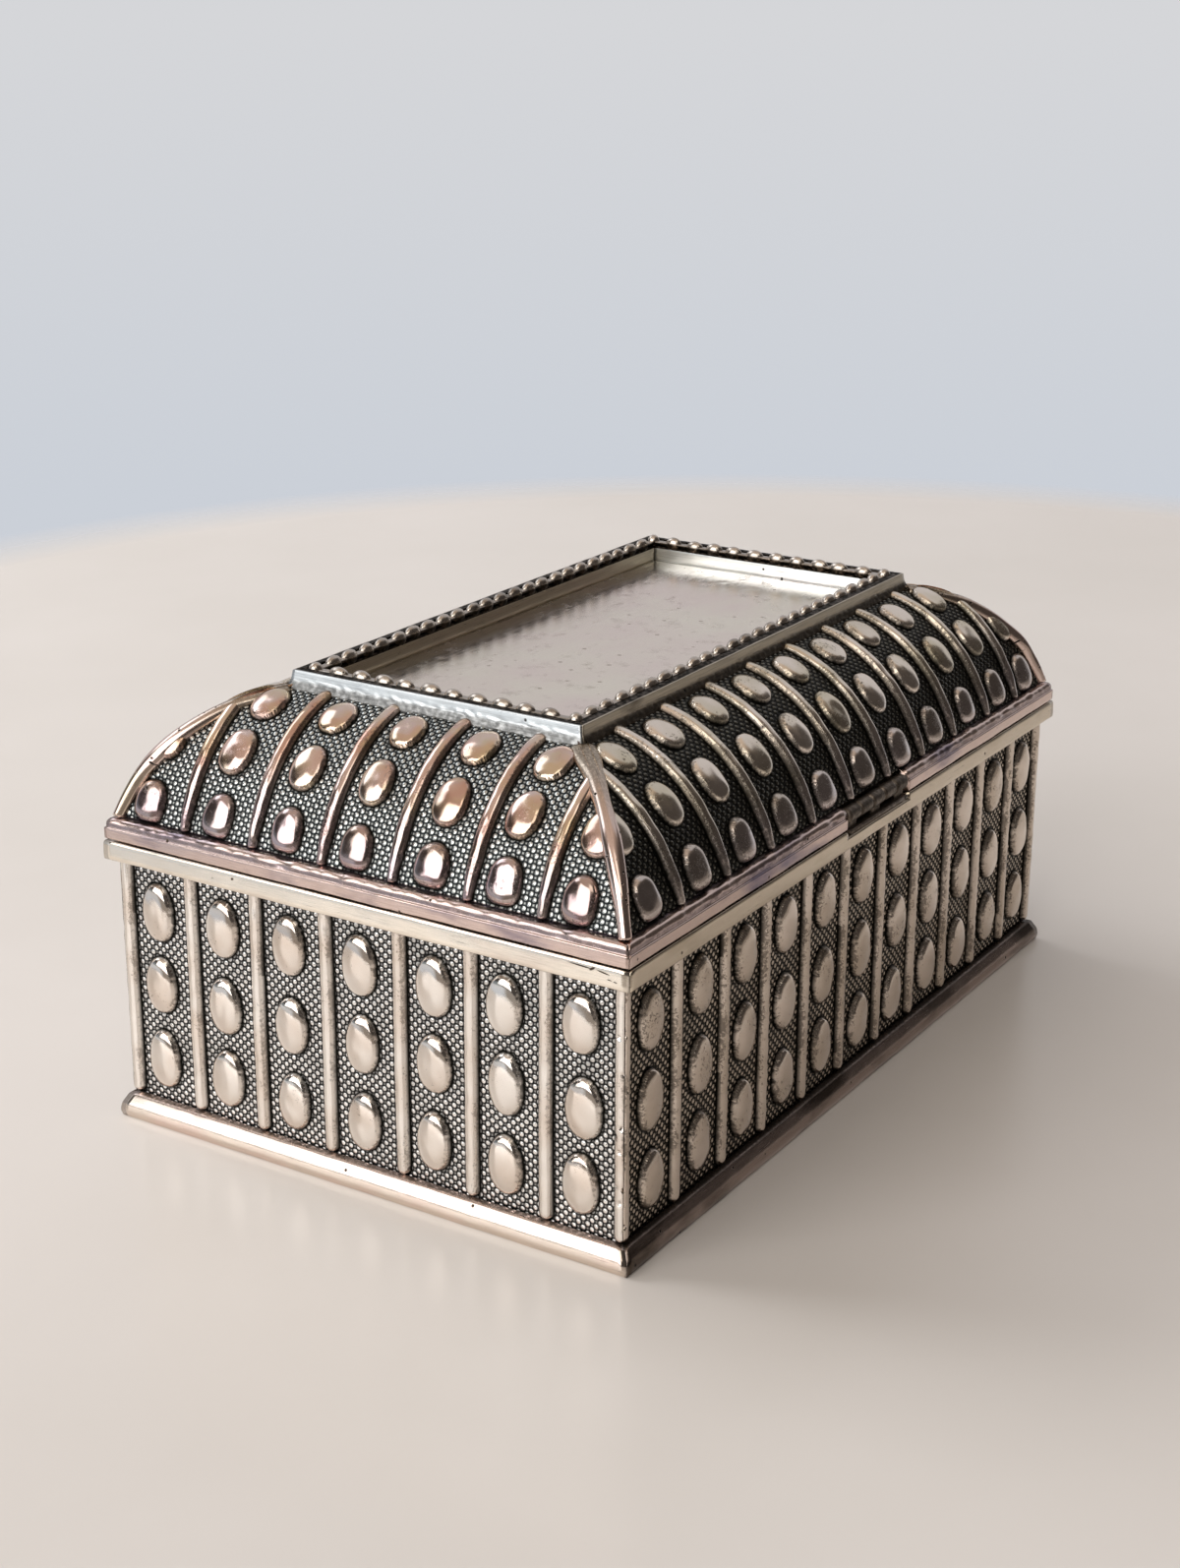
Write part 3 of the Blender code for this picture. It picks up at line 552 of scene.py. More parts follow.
def mottle(tree, place, size, detail=4.0, stretch=(1, 1, 1), rough=0.55):
    """Cloudy noise whose patches are about a given size across, longer where stretch is more."""
    scale = [1 / (size * share) for share in stretch]
    mapped = add_node(tree, "Mapping", {"Vector": place, "Scale": scale})
    inputs = {"Vector": mapped, "Scale": 1.0, "Detail": detail, "Roughness": rough}
    return add_node(tree, "TexNoise", inputs, "Fac")


def pitting(tree, place, spacing, share, radius_share):
    """Small round pits, 1 inside: the nearest of scattered points, kept where its own draw is low."""
    mapped = add_node(tree, "Mapping", {"Vector": place, "Scale": [1 / spacing] * 3})
    distance = add_node(tree, "TexVoronoi", {"Vector": mapped, "Scale": 1.0}, "Distance")
    draw = add_node(tree, "SeparateColor", [distance.node.outputs["Color"]])
    inside = add_node(tree, "MapRange", [distance, radius_share, radius_share * 0.6])
    chosen = add_node(tree, "MapRange", [draw, share, share * 0.8])
    return add_node(tree, "Math", [inside, chosen], operation="MULTIPLY")


def score_mark(tree, place, centre, angle, half_sizes):
    """One scratch, 1 inside: an ellipse of a centre, angle and half sizes in surface coordinates."""
    inputs = {
        "Vector": place,
        "Location": centre,
        "Rotation": (0, 0, angle),
        "Scale": (*half_sizes, half_sizes[0]),
    }
    mapped = add_node(tree, "Mapping", inputs, vector_type="TEXTURE")
    reach = add_node(tree, "VectorMath", [mapped], "Value", operation="LENGTH")
    return add_node(tree, "MapRange", [reach, 1.0, 0.6])


def silver_plate(
    name, light, warm, dark, warm_share, rough, pits, brush=6.0, pit_spacing=0.0011, pit_size=0.24, marks=()
):
    """Electroplated silver on cast white metal, buffed by hand and toned by air.

    The eye gets a bright metal with slow patches of warm toning, long buffing marks, small pits
    where the casting was porous, dark polish residue in scores, and a darkening along the creases
    and under edges that is residue together with painted shade.
    Toning changes over 11 mm. Buffing marks are 0.2 to 7 mm, and are drawn coarse enough to show.
    """
    made, tree, shader = new_material(name)
    place = add_node(tree, "Attribute", [], "Vector", attribute_name="surface")
    grime = add_node(tree, "Attribute", [], "Fac", attribute_name="grime")
    clouds = mottle(tree, place, 0.011, stretch=(1.6, 0.5, 1))
    patches = add_node(tree, "MapRange", [clouds, 0.62 - 0.3 * warm_share, 0.78 - 0.3 * warm_share])
    creases = add_node(tree, "Math", [grime, 1.4], operation="MULTIPLY")
    toned = add_node(tree, "Math", [patches, creases], operation="MAXIMUM", use_clamp=True)
    base = add_node(tree, "Mix", {0: toned, 6: light, 7: warm}, 2, data_type="RGBA")
    streaks = mottle(tree, place, 0.0005, 3.0, (brush, 0.35, 1))
    darkest = add_node(tree, "MapRange", [streaks, 0.45, 0.75, 0.0, 0.02 * brush])
    base = add_node(tree, "Mix", {0: darkest, 6: base, 7: dark}, 2, data_type="RGBA")

    # Pits, residue and painted shade in the creases, and scores in some places only
    holes = pitting(tree, place, pit_spacing, pits, pit_size)
    crumbs = add_node(tree, "MapRange", [mottle(tree, place, 0.6 * pit_spacing, 5.0), 0.32, 0.56])
    caught = add_node(tree, "Math", [grime, crumbs], operation="MULTIPLY")
    soiled = add_node(tree, "Math", [holes, caught], operation="MAXIMUM")
    lines = mottle(tree, place, 0.00016, 2.0, (30.0, 1.0, 1.0))
    lines = add_node(tree, "MapRange", [lines, 0.66, 0.72, 0.0, 0.7])
    handled = add_node(tree, "MapRange", [mottle(tree, place, 0.008, 2.0), 0.52, 0.62])
    scores = add_node(tree, "Math", [lines, handled], operation="MULTIPLY")
    soiled = add_node(tree, "Math", [soiled, scores], operation="MAXIMUM")
    for centre, angle, half_sizes in marks:
        mark = score_mark(tree, place, centre, angle, half_sizes)
        soiled = add_node(tree, "Math", [soiled, mark], operation="MAXIMUM")

    buffed = add_node(tree, "MapRange", [streaks, 0.3, 0.7, rough * 0.8, rough * 1.25])
    raised = add_node(tree, "MapRange", [streaks, 0.3, 0.7, 0.0, 0.01 * brush])
    height = add_node(tree, "Math", [raised, holes], operation="SUBTRACT")
    set_inputs(tree, shader, {
        "Metallic": 1.0,
        "Base Color": add_node(tree, "Mix", {0: soiled, 6: base, 7: dark}, 2, data_type="RGBA"),
        "Roughness": add_node(tree, "Math", [soiled, 0.35, buffed], operation="MULTIPLY_ADD"),
        "Normal": add_node(tree, "Bump", {"Height": height, "Distance": 0.00003, "Strength": 1.0}),
    })
    return made


def relief_silver(
    name, tones, light, warm, tip, tip_size, ground, rough, worn, dots, violet=0.0, straw=0.0
):
    """Silver-plated casting, blackened all over and then rubbed bright on what stands proud.

    The eye gets a dark ground with a bright tip on each tiny bead and a faint dot between beads,
    and smooth ribs and bosses with dark outlines, whose toning drifts from cream to rose and straw
    and, near the foot, to violet. Black that was not rubbed away stays as specks by the outlines.
    Tips follow the beads of the mesh; toning changes over 9 mm and the specks are 0.4 mm.
    """
    made, tree, shader = new_material(name)
    surface = add_node(tree, "Attribute", [], "Vector", attribute_name="surface")
    inside = add_node(tree, "Attribute", [], "Fac", attribute_name="inside")
    place = add_node(tree, "TexCoord", [], "Object")
    across = add_node(tree, "SeparateXYZ", [surface])
    up, fade = across.node.outputs["Y"], across.node.outputs["Z"]

    # Distance to the nearest bead, on the same turned lattice as the mesh
    pitch = bpy.context.scene.trinket_relief.bead_pitch
    flat = add_node(tree, "CombineXYZ", [across, up])
    inputs = {"Vector": flat, "Rotation": (0, 0, math.pi / 4), "Scale": (1 / pitch, 1 / pitch, 1)}
    lattice = add_node(tree, "Mapping", inputs)
    inputs = {"Vector": lattice, "Scale": 1.0, "Randomness": 0.0}
    distance = add_node(tree, "TexVoronoi", inputs, "Distance", voronoi_dimensions="2D")
    rubbed = add_node(tree, "MapRange", [mottle(tree, place, 0.005), 0.25, 0.6, 0.6, 1.0])
    large = add_node(tree, "MapRange", [distance, tip_size, tip_size - 0.1])
    large = add_node(tree, "Math", [large, rubbed], operation="MULTIPLY")
    small = add_node(tree, "MapRange", [distance, 0.52, 0.62, 0.0, dots])
    tips = add_node(tree, "Math", [large, small], operation="MAXIMUM")
    tips = add_node(tree, "Math", [tips, fade], operation="MULTIPLY")

    # Toning of what is smooth
    drift = add_node(tree, "MapRange", [mottle(tree, place, 0.009, 3.0), 0.40, 0.64])
    smooth = add_node(tree, "Mix", {0: drift, 6: light, 7: warm}, 2, data_type="RGBA")
    yellowed = add_node(tree, "MapRange", [mottle(tree, place, 0.0035, 3.0), 0.42, 0.66, 0.0, straw])
    smooth = add_node(tree, "Mix", {0: yellowed, 6: smooth, 7: tones["straw"]}, 2, data_type="RGBA")
    low_down = add_node(tree, "MapRange", [up, 0.011, 0.003, 0.0, violet])
    smooth = add_node(tree, "Mix", {0: low_down, 6: smooth, 7: tones["lilac"]}, 2, data_type="RGBA")

    # Specks of black, more of them near an outline and in some patches
    crumbs = mottle(tree, place, 0.0004, 6.0, rough=0.7)
    patches = add_node(tree, "MapRange", [mottle(tree, place, 0.0045, 2.0), 0.35, 0.65, -0.10, 0.08])
    outline = add_node(tree, "MapRange", [inside, 0.85, 0.1, -0.07, 0.09])
    spread = add_node(tree, "Math", [patches, outline], operation="ADD")
    level = add_node(tree, "Math", [0.60 - 0.14 * worn, spread], operation="SUBTRACT")
    over = add_node(tree, "Math", [crumbs, level], operation="SUBTRACT")
    residue = add_node(tree, "MapRange", [over, 0.0, 0.05, 0.0, 0.35 + 0.5 * worn])
    smooth = add_node(tree, "Mix", {0: residue, 6: smooth, 7: ground}, 2, data_type="RGBA")

    open_ground = add_node(tree, "MapRange", [fade, 0.0, 0.7])
    bare = add_node(tree, "Mix", {0: open_ground, 6: tones["black"], 7: ground}, 2, data_type="RGBA")
    beaded = add_node(tree, "Mix", {0: tips, 6: bare, 7: tip}, 2, data_type="RGBA")
    raised = add_node(tree, "MapRange", [inside, 0.04, 0.20])
    beaded_rough = add_node(tree, "MapRange", [tips, 0.0, 1.0, 0.5, 0.2])
    fine = mottle(tree, place, 0.0009, 3.0)
    fine = add_node(tree, "MapRange", [fine, 0.3, 0.7, rough * 0.8, rough * 1.3])
    smooth_rough = add_node(tree, "Math", [residue, 0.3, fine], operation="MULTIPLY_ADD")
    rough_parts = {0: raised, 2: beaded_rough, 3: smooth_rough}
    height = add_node(tree, "Math", [mottle(tree, place, 0.0006), residue], operation="SUBTRACT")
    set_inputs(tree, shader, {
        "Metallic": 1.0,
        "Base Color": add_node(tree, "Mix", {0: raised, 6: beaded, 7: smooth}, 2, data_type="RGBA"),
        "Roughness": add_node(tree, "Mix", rough_parts, data_type="FLOAT"),
        "Normal": add_node(tree, "Bump", {"Height": height, "Distance": 0.000008, "Strength": 1.0}),
    })
    return made


def spotted_plate(tones):
    """Silver plate that has lain flat for years: greige and pink clouds, and small dull spots.

    The eye gets a soft mirror that is duller in the spots, with faint scratches lengthways. Clouds
    are 16 mm across and spots about 0.8 mm.
    """
    made, tree, shader = new_material("spotted_silver_plate")
    place = add_node(tree, "TexCoord", [], "Object")
    clouds = add_node(tree, "MapRange", [mottle(tree, place, 0.016, 5.0), 0.38, 0.62])
    greige, pink = (tinted(tones[key], linear("#fffaf4"), 0.66) for key in ("straw", "rose"))
    base = add_node(tree, "Mix", {0: clouds, 6: greige, 7: pink}, 2, data_type="RGBA")
    spots = pitting(tree, place, 0.0024, 0.4, 0.17)
    stains = mottle(tree, place, 0.0030, 6.0, rough=0.72)
    stains = add_node(tree, "MapRange", [stains, 0.55, 0.70, 0.0, 0.55])
    marked = add_node(tree, "Math", [spots, stains], operation="MAXIMUM")
    dark = tinted(tones["black"], tones["cream"], 0.35)
    shade = add_node(tree, "Math", [marked, 0.55], operation="MULTIPLY")
    scratches = mottle(tree, place, 0.0004, 3.0, (16.0, 1.0, 1.0))
    rough = add_node(tree, "MapRange", [scratches, 0.3, 0.7, 0.16, 0.25])
    set_inputs(tree, shader, {
        "Metallic": 1.0,
        "Base Color": add_node(tree, "Mix", {0: shade, 6: base, 7: dark}, 2, data_type="RGBA"),
        "Roughness": add_node(tree, "Math", [marked, 0.25, rough], operation="MULTIPLY_ADD"),
        "Normal": add_node(tree, "Bump", {"Height": scratches, "Distance": 0.000004, "Strength": 1.0}),
    })
    return made


def velvet(name, value):
    """Short cotton velvet: a dark pile whose tips catch light at grazing angles, brushed in patches.

    Tufts are drawn 0.4 mm apart, coarse enough to show, and the brushed patches are 14 mm.
    """
    made, tree, shader = new_material(name)
    place = add_node(tree, "TexCoord", [], "Object")
    brushed = mottle(tree, place, 0.014, 3.0, (1.0, 0.6, 1.0))
    brushed = add_node(tree, "Math", [brushed, 0.7], operation="MULTIPLY")
    pile = mottle(tree, place, 0.0004, 2.0)
    nap = add_node(tree, "Math", [pile, 0.35, brushed], operation="MULTIPLY_ADD")
    dark, bright = shaded(linear(value), 0.55), shaded(linear(value), 1.5)
    set_inputs(tree, shader, {
        "Base Color": add_node(tree, "Mix", {0: nap, 6: dark, 7: bright}, 2, data_type="RGBA"),
        "Roughness": 0.95,
        "Sheen Weight": 0.35,
        "Sheen Roughness": 0.35,
        "Sheen Tint": linear("#76809f"),
        "Normal": add_node(tree, "Bump", {"Height": pile, "Distance": 0.00025, "Strength": 1.0}),
    })
    return made


def felt(name, value):
    """Pressed wool felt: a matt tangle of fibres in clumps of about 0.3 mm, with paler lint."""
    made, tree, shader = new_material(name)
    place = add_node(tree, "TexCoord", [], "Object")
    fibres = mottle(tree, place, 0.0003, 5.0, (3.0, 1.0, 1.0))
    mixed = add_node(tree, "Math", [fibres, mottle(tree, place, 0.0025)], operation="MULTIPLY")
    lint = add_node(tree, "MapRange", [mixed, 0.1, 0.4])
    dark, bright = shaded(linear(value), 0.6), shaded(linear(value), 1.6)
    set_inputs(tree, shader, {
        "Base Color": add_node(tree, "Mix", {0: lint, 6: dark, 7: bright}, 2, data_type="RGBA"),
        "Roughness": 0.95,
        "Normal": add_node(tree, "Bump", {"Height": fibres, "Distance": 0.0002, "Strength": 1.0}),
    })
    return made


def pulp_board(name, value):
    """Grey pulp board: a flat matt grey with flecks of about 1 mm."""
    made, tree, shader = new_material(name)
    flecks = mottle(tree, add_node(tree, "TexCoord", [], "Object"), 0.0012, 5.0)
    shown = add_node(tree, "MapRange", [flecks, 0.35, 0.6])
    dark, bright = shaded(linear(value), 0.7), linear(value)
    set_inputs(tree, shader, {
        "Base Color": add_node(tree, "Mix", {0: shown, 6: dark, 7: bright}, 2, data_type="RGBA"),
        "Roughness": 0.85,
        "Normal": add_node(tree, "Bump", {"Height": flecks, "Distance": 0.00008, "Strength": 1.0}),
    })
    return made


def marked_metal(name, plain, marked, mark_width, mark_length_share, start, stop, rough):
    """Drawn or rolled metal left as it came: plain, with fine marks along X in a second tone."""
    made, tree, shader = new_material(name)
    place = add_node(tree, "TexCoord", [], "Object")
    marks = mottle(tree, place, mark_width, 3.0, (mark_length_share, 1.0, 1.0))
    shown = add_node(tree, "MapRange", [marks, start, stop])
    set_inputs(tree, shader, {
        "Metallic": 1.0,
        "Base Color": add_node(tree, "Mix", {0: shown, 6: plain, 7: marked}, 2, data_type="RGBA"),
        "Roughness": rough,
    })
    return made


# Relief panels


def lattice_steps(low, high, step):
    """Multiples of the step from low to high, with both limits themselves at the ends."""
    inner = np.arange(math.floor(low / step) + 1, math.ceil(high / step)) * step
    return np.r_[low, inner, high]


def bead_height(first, second, pitch, relief):
    """Tiny round beads on a square lattice turned 45 degrees.

    In turned coordinates in pitches, r is the distance to the nearest whole pair, and a bead is
    the half-ball relief * sqrt(1 - (r / 0.41)^2). A smaller one of radius 0.22 stands half as high
    in each gap, s from its middle.
    """
    scale = 1 / (pitch * math.sqrt(2))
    p, q = (first - second) * scale, (first + second) * scale
    r = np.hypot(p - np.round(p), q - np.round(q))
    s = np.hypot(p - np.floor(p) - 0.5, q - np.floor(q) - 0.5)
    large = np.sqrt(np.clip(1 - (r / 0.41) ** 2, 0, 1))
    return relief * (large + 0.5 * np.sqrt(np.clip(1 - (s / 0.22) ** 2, 0, 1)))


def press_rib(u, v, state, middle, low, high, radius, proud, step):
    """Raises a half-round rib along v between two ends, and snaps nearby points to its outline.

    d is the distance to the rib's middle line; the height is proud * (1 - (d / radius)^2.4)^(1 / 2.4).
    """
    nearest = np.clip(v, low, high)
    du, dv = u - middle, v - nearest
    d = np.hypot(du, dv)
    snap = np.where(np.abs(d - radius) < step / 2, radius / np.maximum(d, WELD_DISTANCE), 1.0)
    u, v, d = middle + du * snap, nearest + dv * snap, d * snap
    height = proud * np.clip(1 - (d / radius) ** 2.4, 0, 1) ** (1 / 2.4)
    state["height"] = np.maximum(state["height"], height)
    state["edge"] = np.minimum(state["edge"], d - radius)
    return u, v


def press_boss(u, v, state, centre, half_sizes, tilt, proud, step, foot_power, level):
    """Raises an oval boss and snaps nearby points to its outline.

    In its own turned axes, r = (|x / a|^p + |y / b|^p)^(1 / p), and the height is
    proud * (1 - r^2.5)^(1 / 2.5) with a small step at the edge. The power p is the oval's in the
    upper half, and a higher foot power squares off the lower half. With a level power the top runs
    flat up and down: r^2.5 there is |x / a|^2 + |y / b|^level, eased at the edge by (1 - r^9)^0.5.
    """
    c, s = math.cos(tilt), math.sin(tilt)
    a, b = half_sizes
    du, dv = u - centre[0], v - centre[1]
    x, y = du * c + dv * s, -du * s + dv * c
    egg = 1 + 0.05 * y / b
    power = np.where(y < 0, foot_power, OVAL_POWER)
    r = (np.abs(x * egg / a) ** power + np.abs(y / b) ** power) ** (1 / power)
    reach = np.hypot(du, dv) / np.maximum(r, WELD_DISTANCE)
    snap = np.where(np.abs(r - 1) * reach < step / 2, 1 / np.maximum(r, WELD_DISTANCE), 1.0)
    u, v, r = centre[0] + du * snap, centre[1] + dv * snap, r * snap
    edge = (r - 1) * np.minimum(reach, b)
    if level is None:
        dome = np.clip(1 - r ** 2.5, 0, 1) ** (1 / 2.5)
    else:
        lost = np.abs(x * egg / a) ** 2 + np.abs(y / b) ** level
        dome = np.clip(1 - lost, 0, 1) ** (1 / 2.5) * np.sqrt(np.clip(1 - r ** 9, 0, 1))
    height = np.where(edge < 0, proud * (0.12 + 0.88 * dome), 0)
    state["height"] = np.maximum(state["height"], height)
    state["edge"] = np.minimum(state["edge"], edge)
    return u, v


def flat_ground(rows, half_length, step):
    """Places (u, v) of a side's grid, with no relief yet and every outline far away."""
    v, u = np.meshgrid(rows, lattice_steps(-half_length, half_length, step), indexing="ij")
    return u, v, {"height": np.zeros(u.shape), "edge": np.full(u.shape, 1.0)}


def rib_lines(side, sizes, rng):
    """Middles of the ribs, evenly spaced, but for a shift and a stray between the corner ribs."""
    reach = SIDES[side][1] - sizes.corner_inset
    count = max(1, round(2 * reach / sizes.panel_pitch))
    stray = rng.normal(PANEL_SHIFTS[side in LONG_SIDES][0], sizes.unevenness, count + 1)
    stray[[0, -1]] = 0
    return np.linspace(-reach, reach, count + 1) + stray


def press_ribs(u, v, state, rng, sizes, lines, section):
    """Presses ribs that sway a little; section(v) gives low and high end, half width and relief."""
    for middle in lines:
        sway = 0.35 * sizes.unevenness * ripple(rng.integers(1000), v, 0 * v, 0.03)
        u, v = press_rib(u, v, state, middle + sway, *section(v), grid_step(sizes))
    return u, v


def press_bosses(u, v, state, rng, sizes, lines, rows, shift, spread):
    """Presses a column of bosses between each two ribs, each uneven in place, size, tilt and relief.

    rows hold middle, half width, half height, relief, foot power and level power. spread holds the
    standard deviations of the place along and up, of the size and of the tilt.
    """
    along, up, size, lean = spread
    for left, right in zip(lines, lines[1:]):
        for middle, half_width, half_height, relief, foot_power, level in rows:
            strays = rng.normal((shift, 0), (along, up))
            centre = ((left + right) / 2 + strays[0], middle + strays[1])
            grow = rng.normal(1, size, 2)
            half = (half_width * grow[0], half_height * grow[1])
            tilt = rng.normal(0, lean)
            proud = relief * rng.normal(1, 0.03)
            u, v = press_boss(u, v, state, centre, half, tilt, proud, grid_step(sizes), foot_power, level)
    return u, v


def relief_fields(u, v, state, sizes, seed):
    """Final heights above the ground, and the point attributes that the material reads.

    Beads fade out within half a pitch of an outline, and a thin groove runs round each outline.
    """
    gap = np.maximum(state["edge"], 0)
    fade = smoothstep((gap - 0.1 * sizes.bead_pitch) / (0.35 * sizes.bead_pitch))
    drift = 0.07 * sizes.bead_pitch
    lattice_u = u + drift * ripple(seed + 1, u, v, 5 * sizes.bead_pitch)
    lattice_v = v + drift * ripple(seed + 2, u, v, 5 * sizes.bead_pitch)
    beads = bead_height(lattice_u, lattice_v, sizes.bead_pitch, sizes.bead_relief) * fade
    groove = 0.4 * sizes.bead_relief * (1 - smoothstep(gap / (0.5 * sizes.bead_pitch)))
    soft = 0.03 * sizes.boss_proud * ripple(seed + 3, u, v, 0.5 * sizes.boss_width)
    smooth = state["height"] + soft * smoothstep(-state["edge"] / 0.0004)
    height = np.where(state["edge"] < 0, smooth, beads - groove)
    inside = np.clip(-state["edge"] / 0.001, 0, 1)
    return height, {"surface": np.stack([lattice_u, lattice_v, fade], -1), "inside": inside}


def panel_mesh(side, u, v, height, fields, ground, back, gap):
    """Wraps a relief grid on its ground line and closes it behind, cut at both corner planes.

    ground(v) gives each point's inset, level and outward direction (out, up); back holds (inset,
    level) of the hidden rear face, from top to bottom. A point past a corner plane is held on it.
    """
    turn, half_length, half_depth = SIDES[side]
    inset, level, out_share, up_share = ground(v)
    rear_out = np.repeat(half_depth - back[:, :1], u.shape[1], axis=1)
    rear_up = np.repeat(back[:, 1:], u.shape[1], axis=1)
    along = np.concatenate([u, np.repeat(u[-1:], len(back), axis=0)])
    out = np.concatenate([half_depth - inset + out_share * height, rear_out])
    up = np.concatenate([level + up_share * height, rear_up])
    limit = half_length - (half_depth - out) - gap
    points = turned(np.stack([np.clip(along, -limit, limit), out, up], -1), turn)
    fields = {
        key: np.concatenate([values, np.zeros((len(back), *values.shape[1:]))])
        for key, values in fields.items()
    }
    return drawn_mesh(points, fields)


def grid_step(sizes):
    """Grid spacing: a third of the way along, and up, from a bead to its nearest neighbour."""
    return sizes.bead_pitch * math.sqrt(2) / 6


def wall_panel(side, sizes, seed):
    """Mesh of one upright wall: ribs with round feet, and three bosses between each two ribs."""
    half_length = SIDES[side][1]
    step = grid_step(sizes)
    rng = np.random.default_rng(seed)
    hidden_foot = 0.0006
    rows = np.r_[WALL_BOTTOM, lattice_steps(PLINTH_TOP - hidden_foot, WALL_TOP, step)]
    u, v, state = flat_ground(rows, half_length, step)
    lines = rib_lines(side, sizes, rng)
    radius = sizes.rib_width / 2

    def section(v):
        return PLINTH_TOP + radius, WALL_TOP + 2 * radius, radius, sizes.ground

    u, v = press_ribs(u, v, state, rng, sizes, lines, section)
    boss = (sizes.boss_width / 2, sizes.boss_height / 2, sizes.boss_proud, OVAL_POWER, None)
    rows = [(sizes.boss_first + row * sizes.boss_row, *boss) for row in range(3)]
    shift = PANEL_SHIFTS[side in LONG_SIDES][1]
    spread = (sizes.unevenness, sizes.unevenness, 0.018, 0.035)
    u, v = press_bosses(u, v, state, rng, sizes, lines, rows, shift, spread)

    # Nicks along the corner post
    post = smoothstep((u * NICKED_POSTS.get(side, 0) - half_length + 0.0024) / 0.0008)
    nicks = smoothstep(1.4 * ripple(seed + 5, 1.5 * u, v, 0.0015, 12) - 1.0)
    state["height"] = state["height"] * (1 - 0.75 * post * nicks)
    height, fields = relief_fields(u, v, state, sizes, seed)

    def ground(level):
        return sizes.ground, level, 1.0, 0.0

    rear = sizes.ground + sizes.sheet
    back = np.array([(rear, WALL_TOP), (rear, WALL_BOTTOM)])
    return panel_mesh(side, u, v, height, fields, ground, back, SEAM)


def cove_line():
    """Dense points of the cove with the length along it from its foot.

    inset = foot + span * (1 - cos(t)^(2 / p)) and level = foot + rise * sin(t)^(2 / p). Low down
    it flares out by flare * (1 - h)^2, with h the rise above the foot over the flare's own.
    """
    t = np.linspace(0, np.pi / 2, COVE_STEPS)
    share = 2 / COVE_POWER
    inset = COVE_FOOT_INSET + (COVE_TOP_INSET - COVE_FOOT_INSET) * (1 - np.cos(t) ** share)
    level = DOME_FOOT + (COVE_TOP - DOME_FOOT) * np.sin(t) ** share
    inset = inset - COVE_FLARE * np.clip(1 - (level - DOME_FOOT) / COVE_FLARE_RISE, 0, 1) ** 2
    run = np.r_[0, np.cumsum(np.hypot(np.diff(inset), np.diff(level)))]
    return run, inset, level


def cove_ground(v):
    """Inset, level and outward direction at a length along the cove."""
    run, inset, level = cove_line()
    slope_in, slope_up = np.gradient(inset, run), np.gradient(level, run)
    size = np.hypot(slope_in, slope_up)
    return [np.interp(v, run, line) for line in (inset, level, slope_up / size, slope_in / size)]


def run_at_inset(inset):
    """Length along the cove at which it has come in by an inset."""
    run, insets, _ = cove_line()
    return float(np.interp(inset, insets, run))


def lid_relief(side, sizes, seed):
    """Mesh of one coved lid side: ribs in upright planes and three rows of bosses."""
    half_length = SIDES[side][1]
    step = grid_step(sizes)
    rng = np.random.default_rng(seed)
    under_frame = 0.0009
    top = run_at_inset(FRAME_INSET + under_frame)
    u, v, state = flat_ground(lattice_steps(0.0, top, step), half_length, step)
    lines = rib_lines(side, sizes, rng)
    radius = sizes.rib_width / 2
    rib_foot = 0.0004
    rib_top = run_at_inset(FRAME_INSET - 0.0001) - 0.5 * radius

    def section(v):
        """Ribs that are narrow and low at the foot, and lower again towards the frame."""
        width = radius * (0.7 + 0.3 * smoothstep(v / 0.0055))
        rising, falling = smoothstep(v / 0.003), smoothstep((v - 0.015) / 0.01)
        return rib_foot, rib_top, width, sizes.ground * (0.75 + 0.25 * rising) * (1 - 0.25 * falling)

    u, v = press_ribs(u, v, state, rng, sizes, lines[1:-1], section)
    rows = [
        (middle, sizes.lid_boss_width / 2, half_height, sizes.lid_boss_proud, foot_power, level)
        for middle, half_height, foot_power, level in LID_BOSSES
    ]
    shift = PANEL_SHIFTS[side in LONG_SIDES][2]
    spread = (sizes.unevenness, 0.6 * sizes.unevenness, 0.025, 0.04)
    u, v = press_bosses(u, v, state, rng, sizes, lines, rows, shift, spread)
    height, fields = relief_fields(u, v, state, sizes, seed)
    inset, level, out_share, up_share = cove_ground(np.linspace(top, 0, 12))
    back = np.stack([inset + sizes.sheet * out_share, level - sizes.sheet * up_share], -1)
    back[-1, 1] = DOME_FOOT
    hip_gap = 0.0008
    return panel_mesh(side, u, v, height, fields, cove_ground, back, hip_gap)


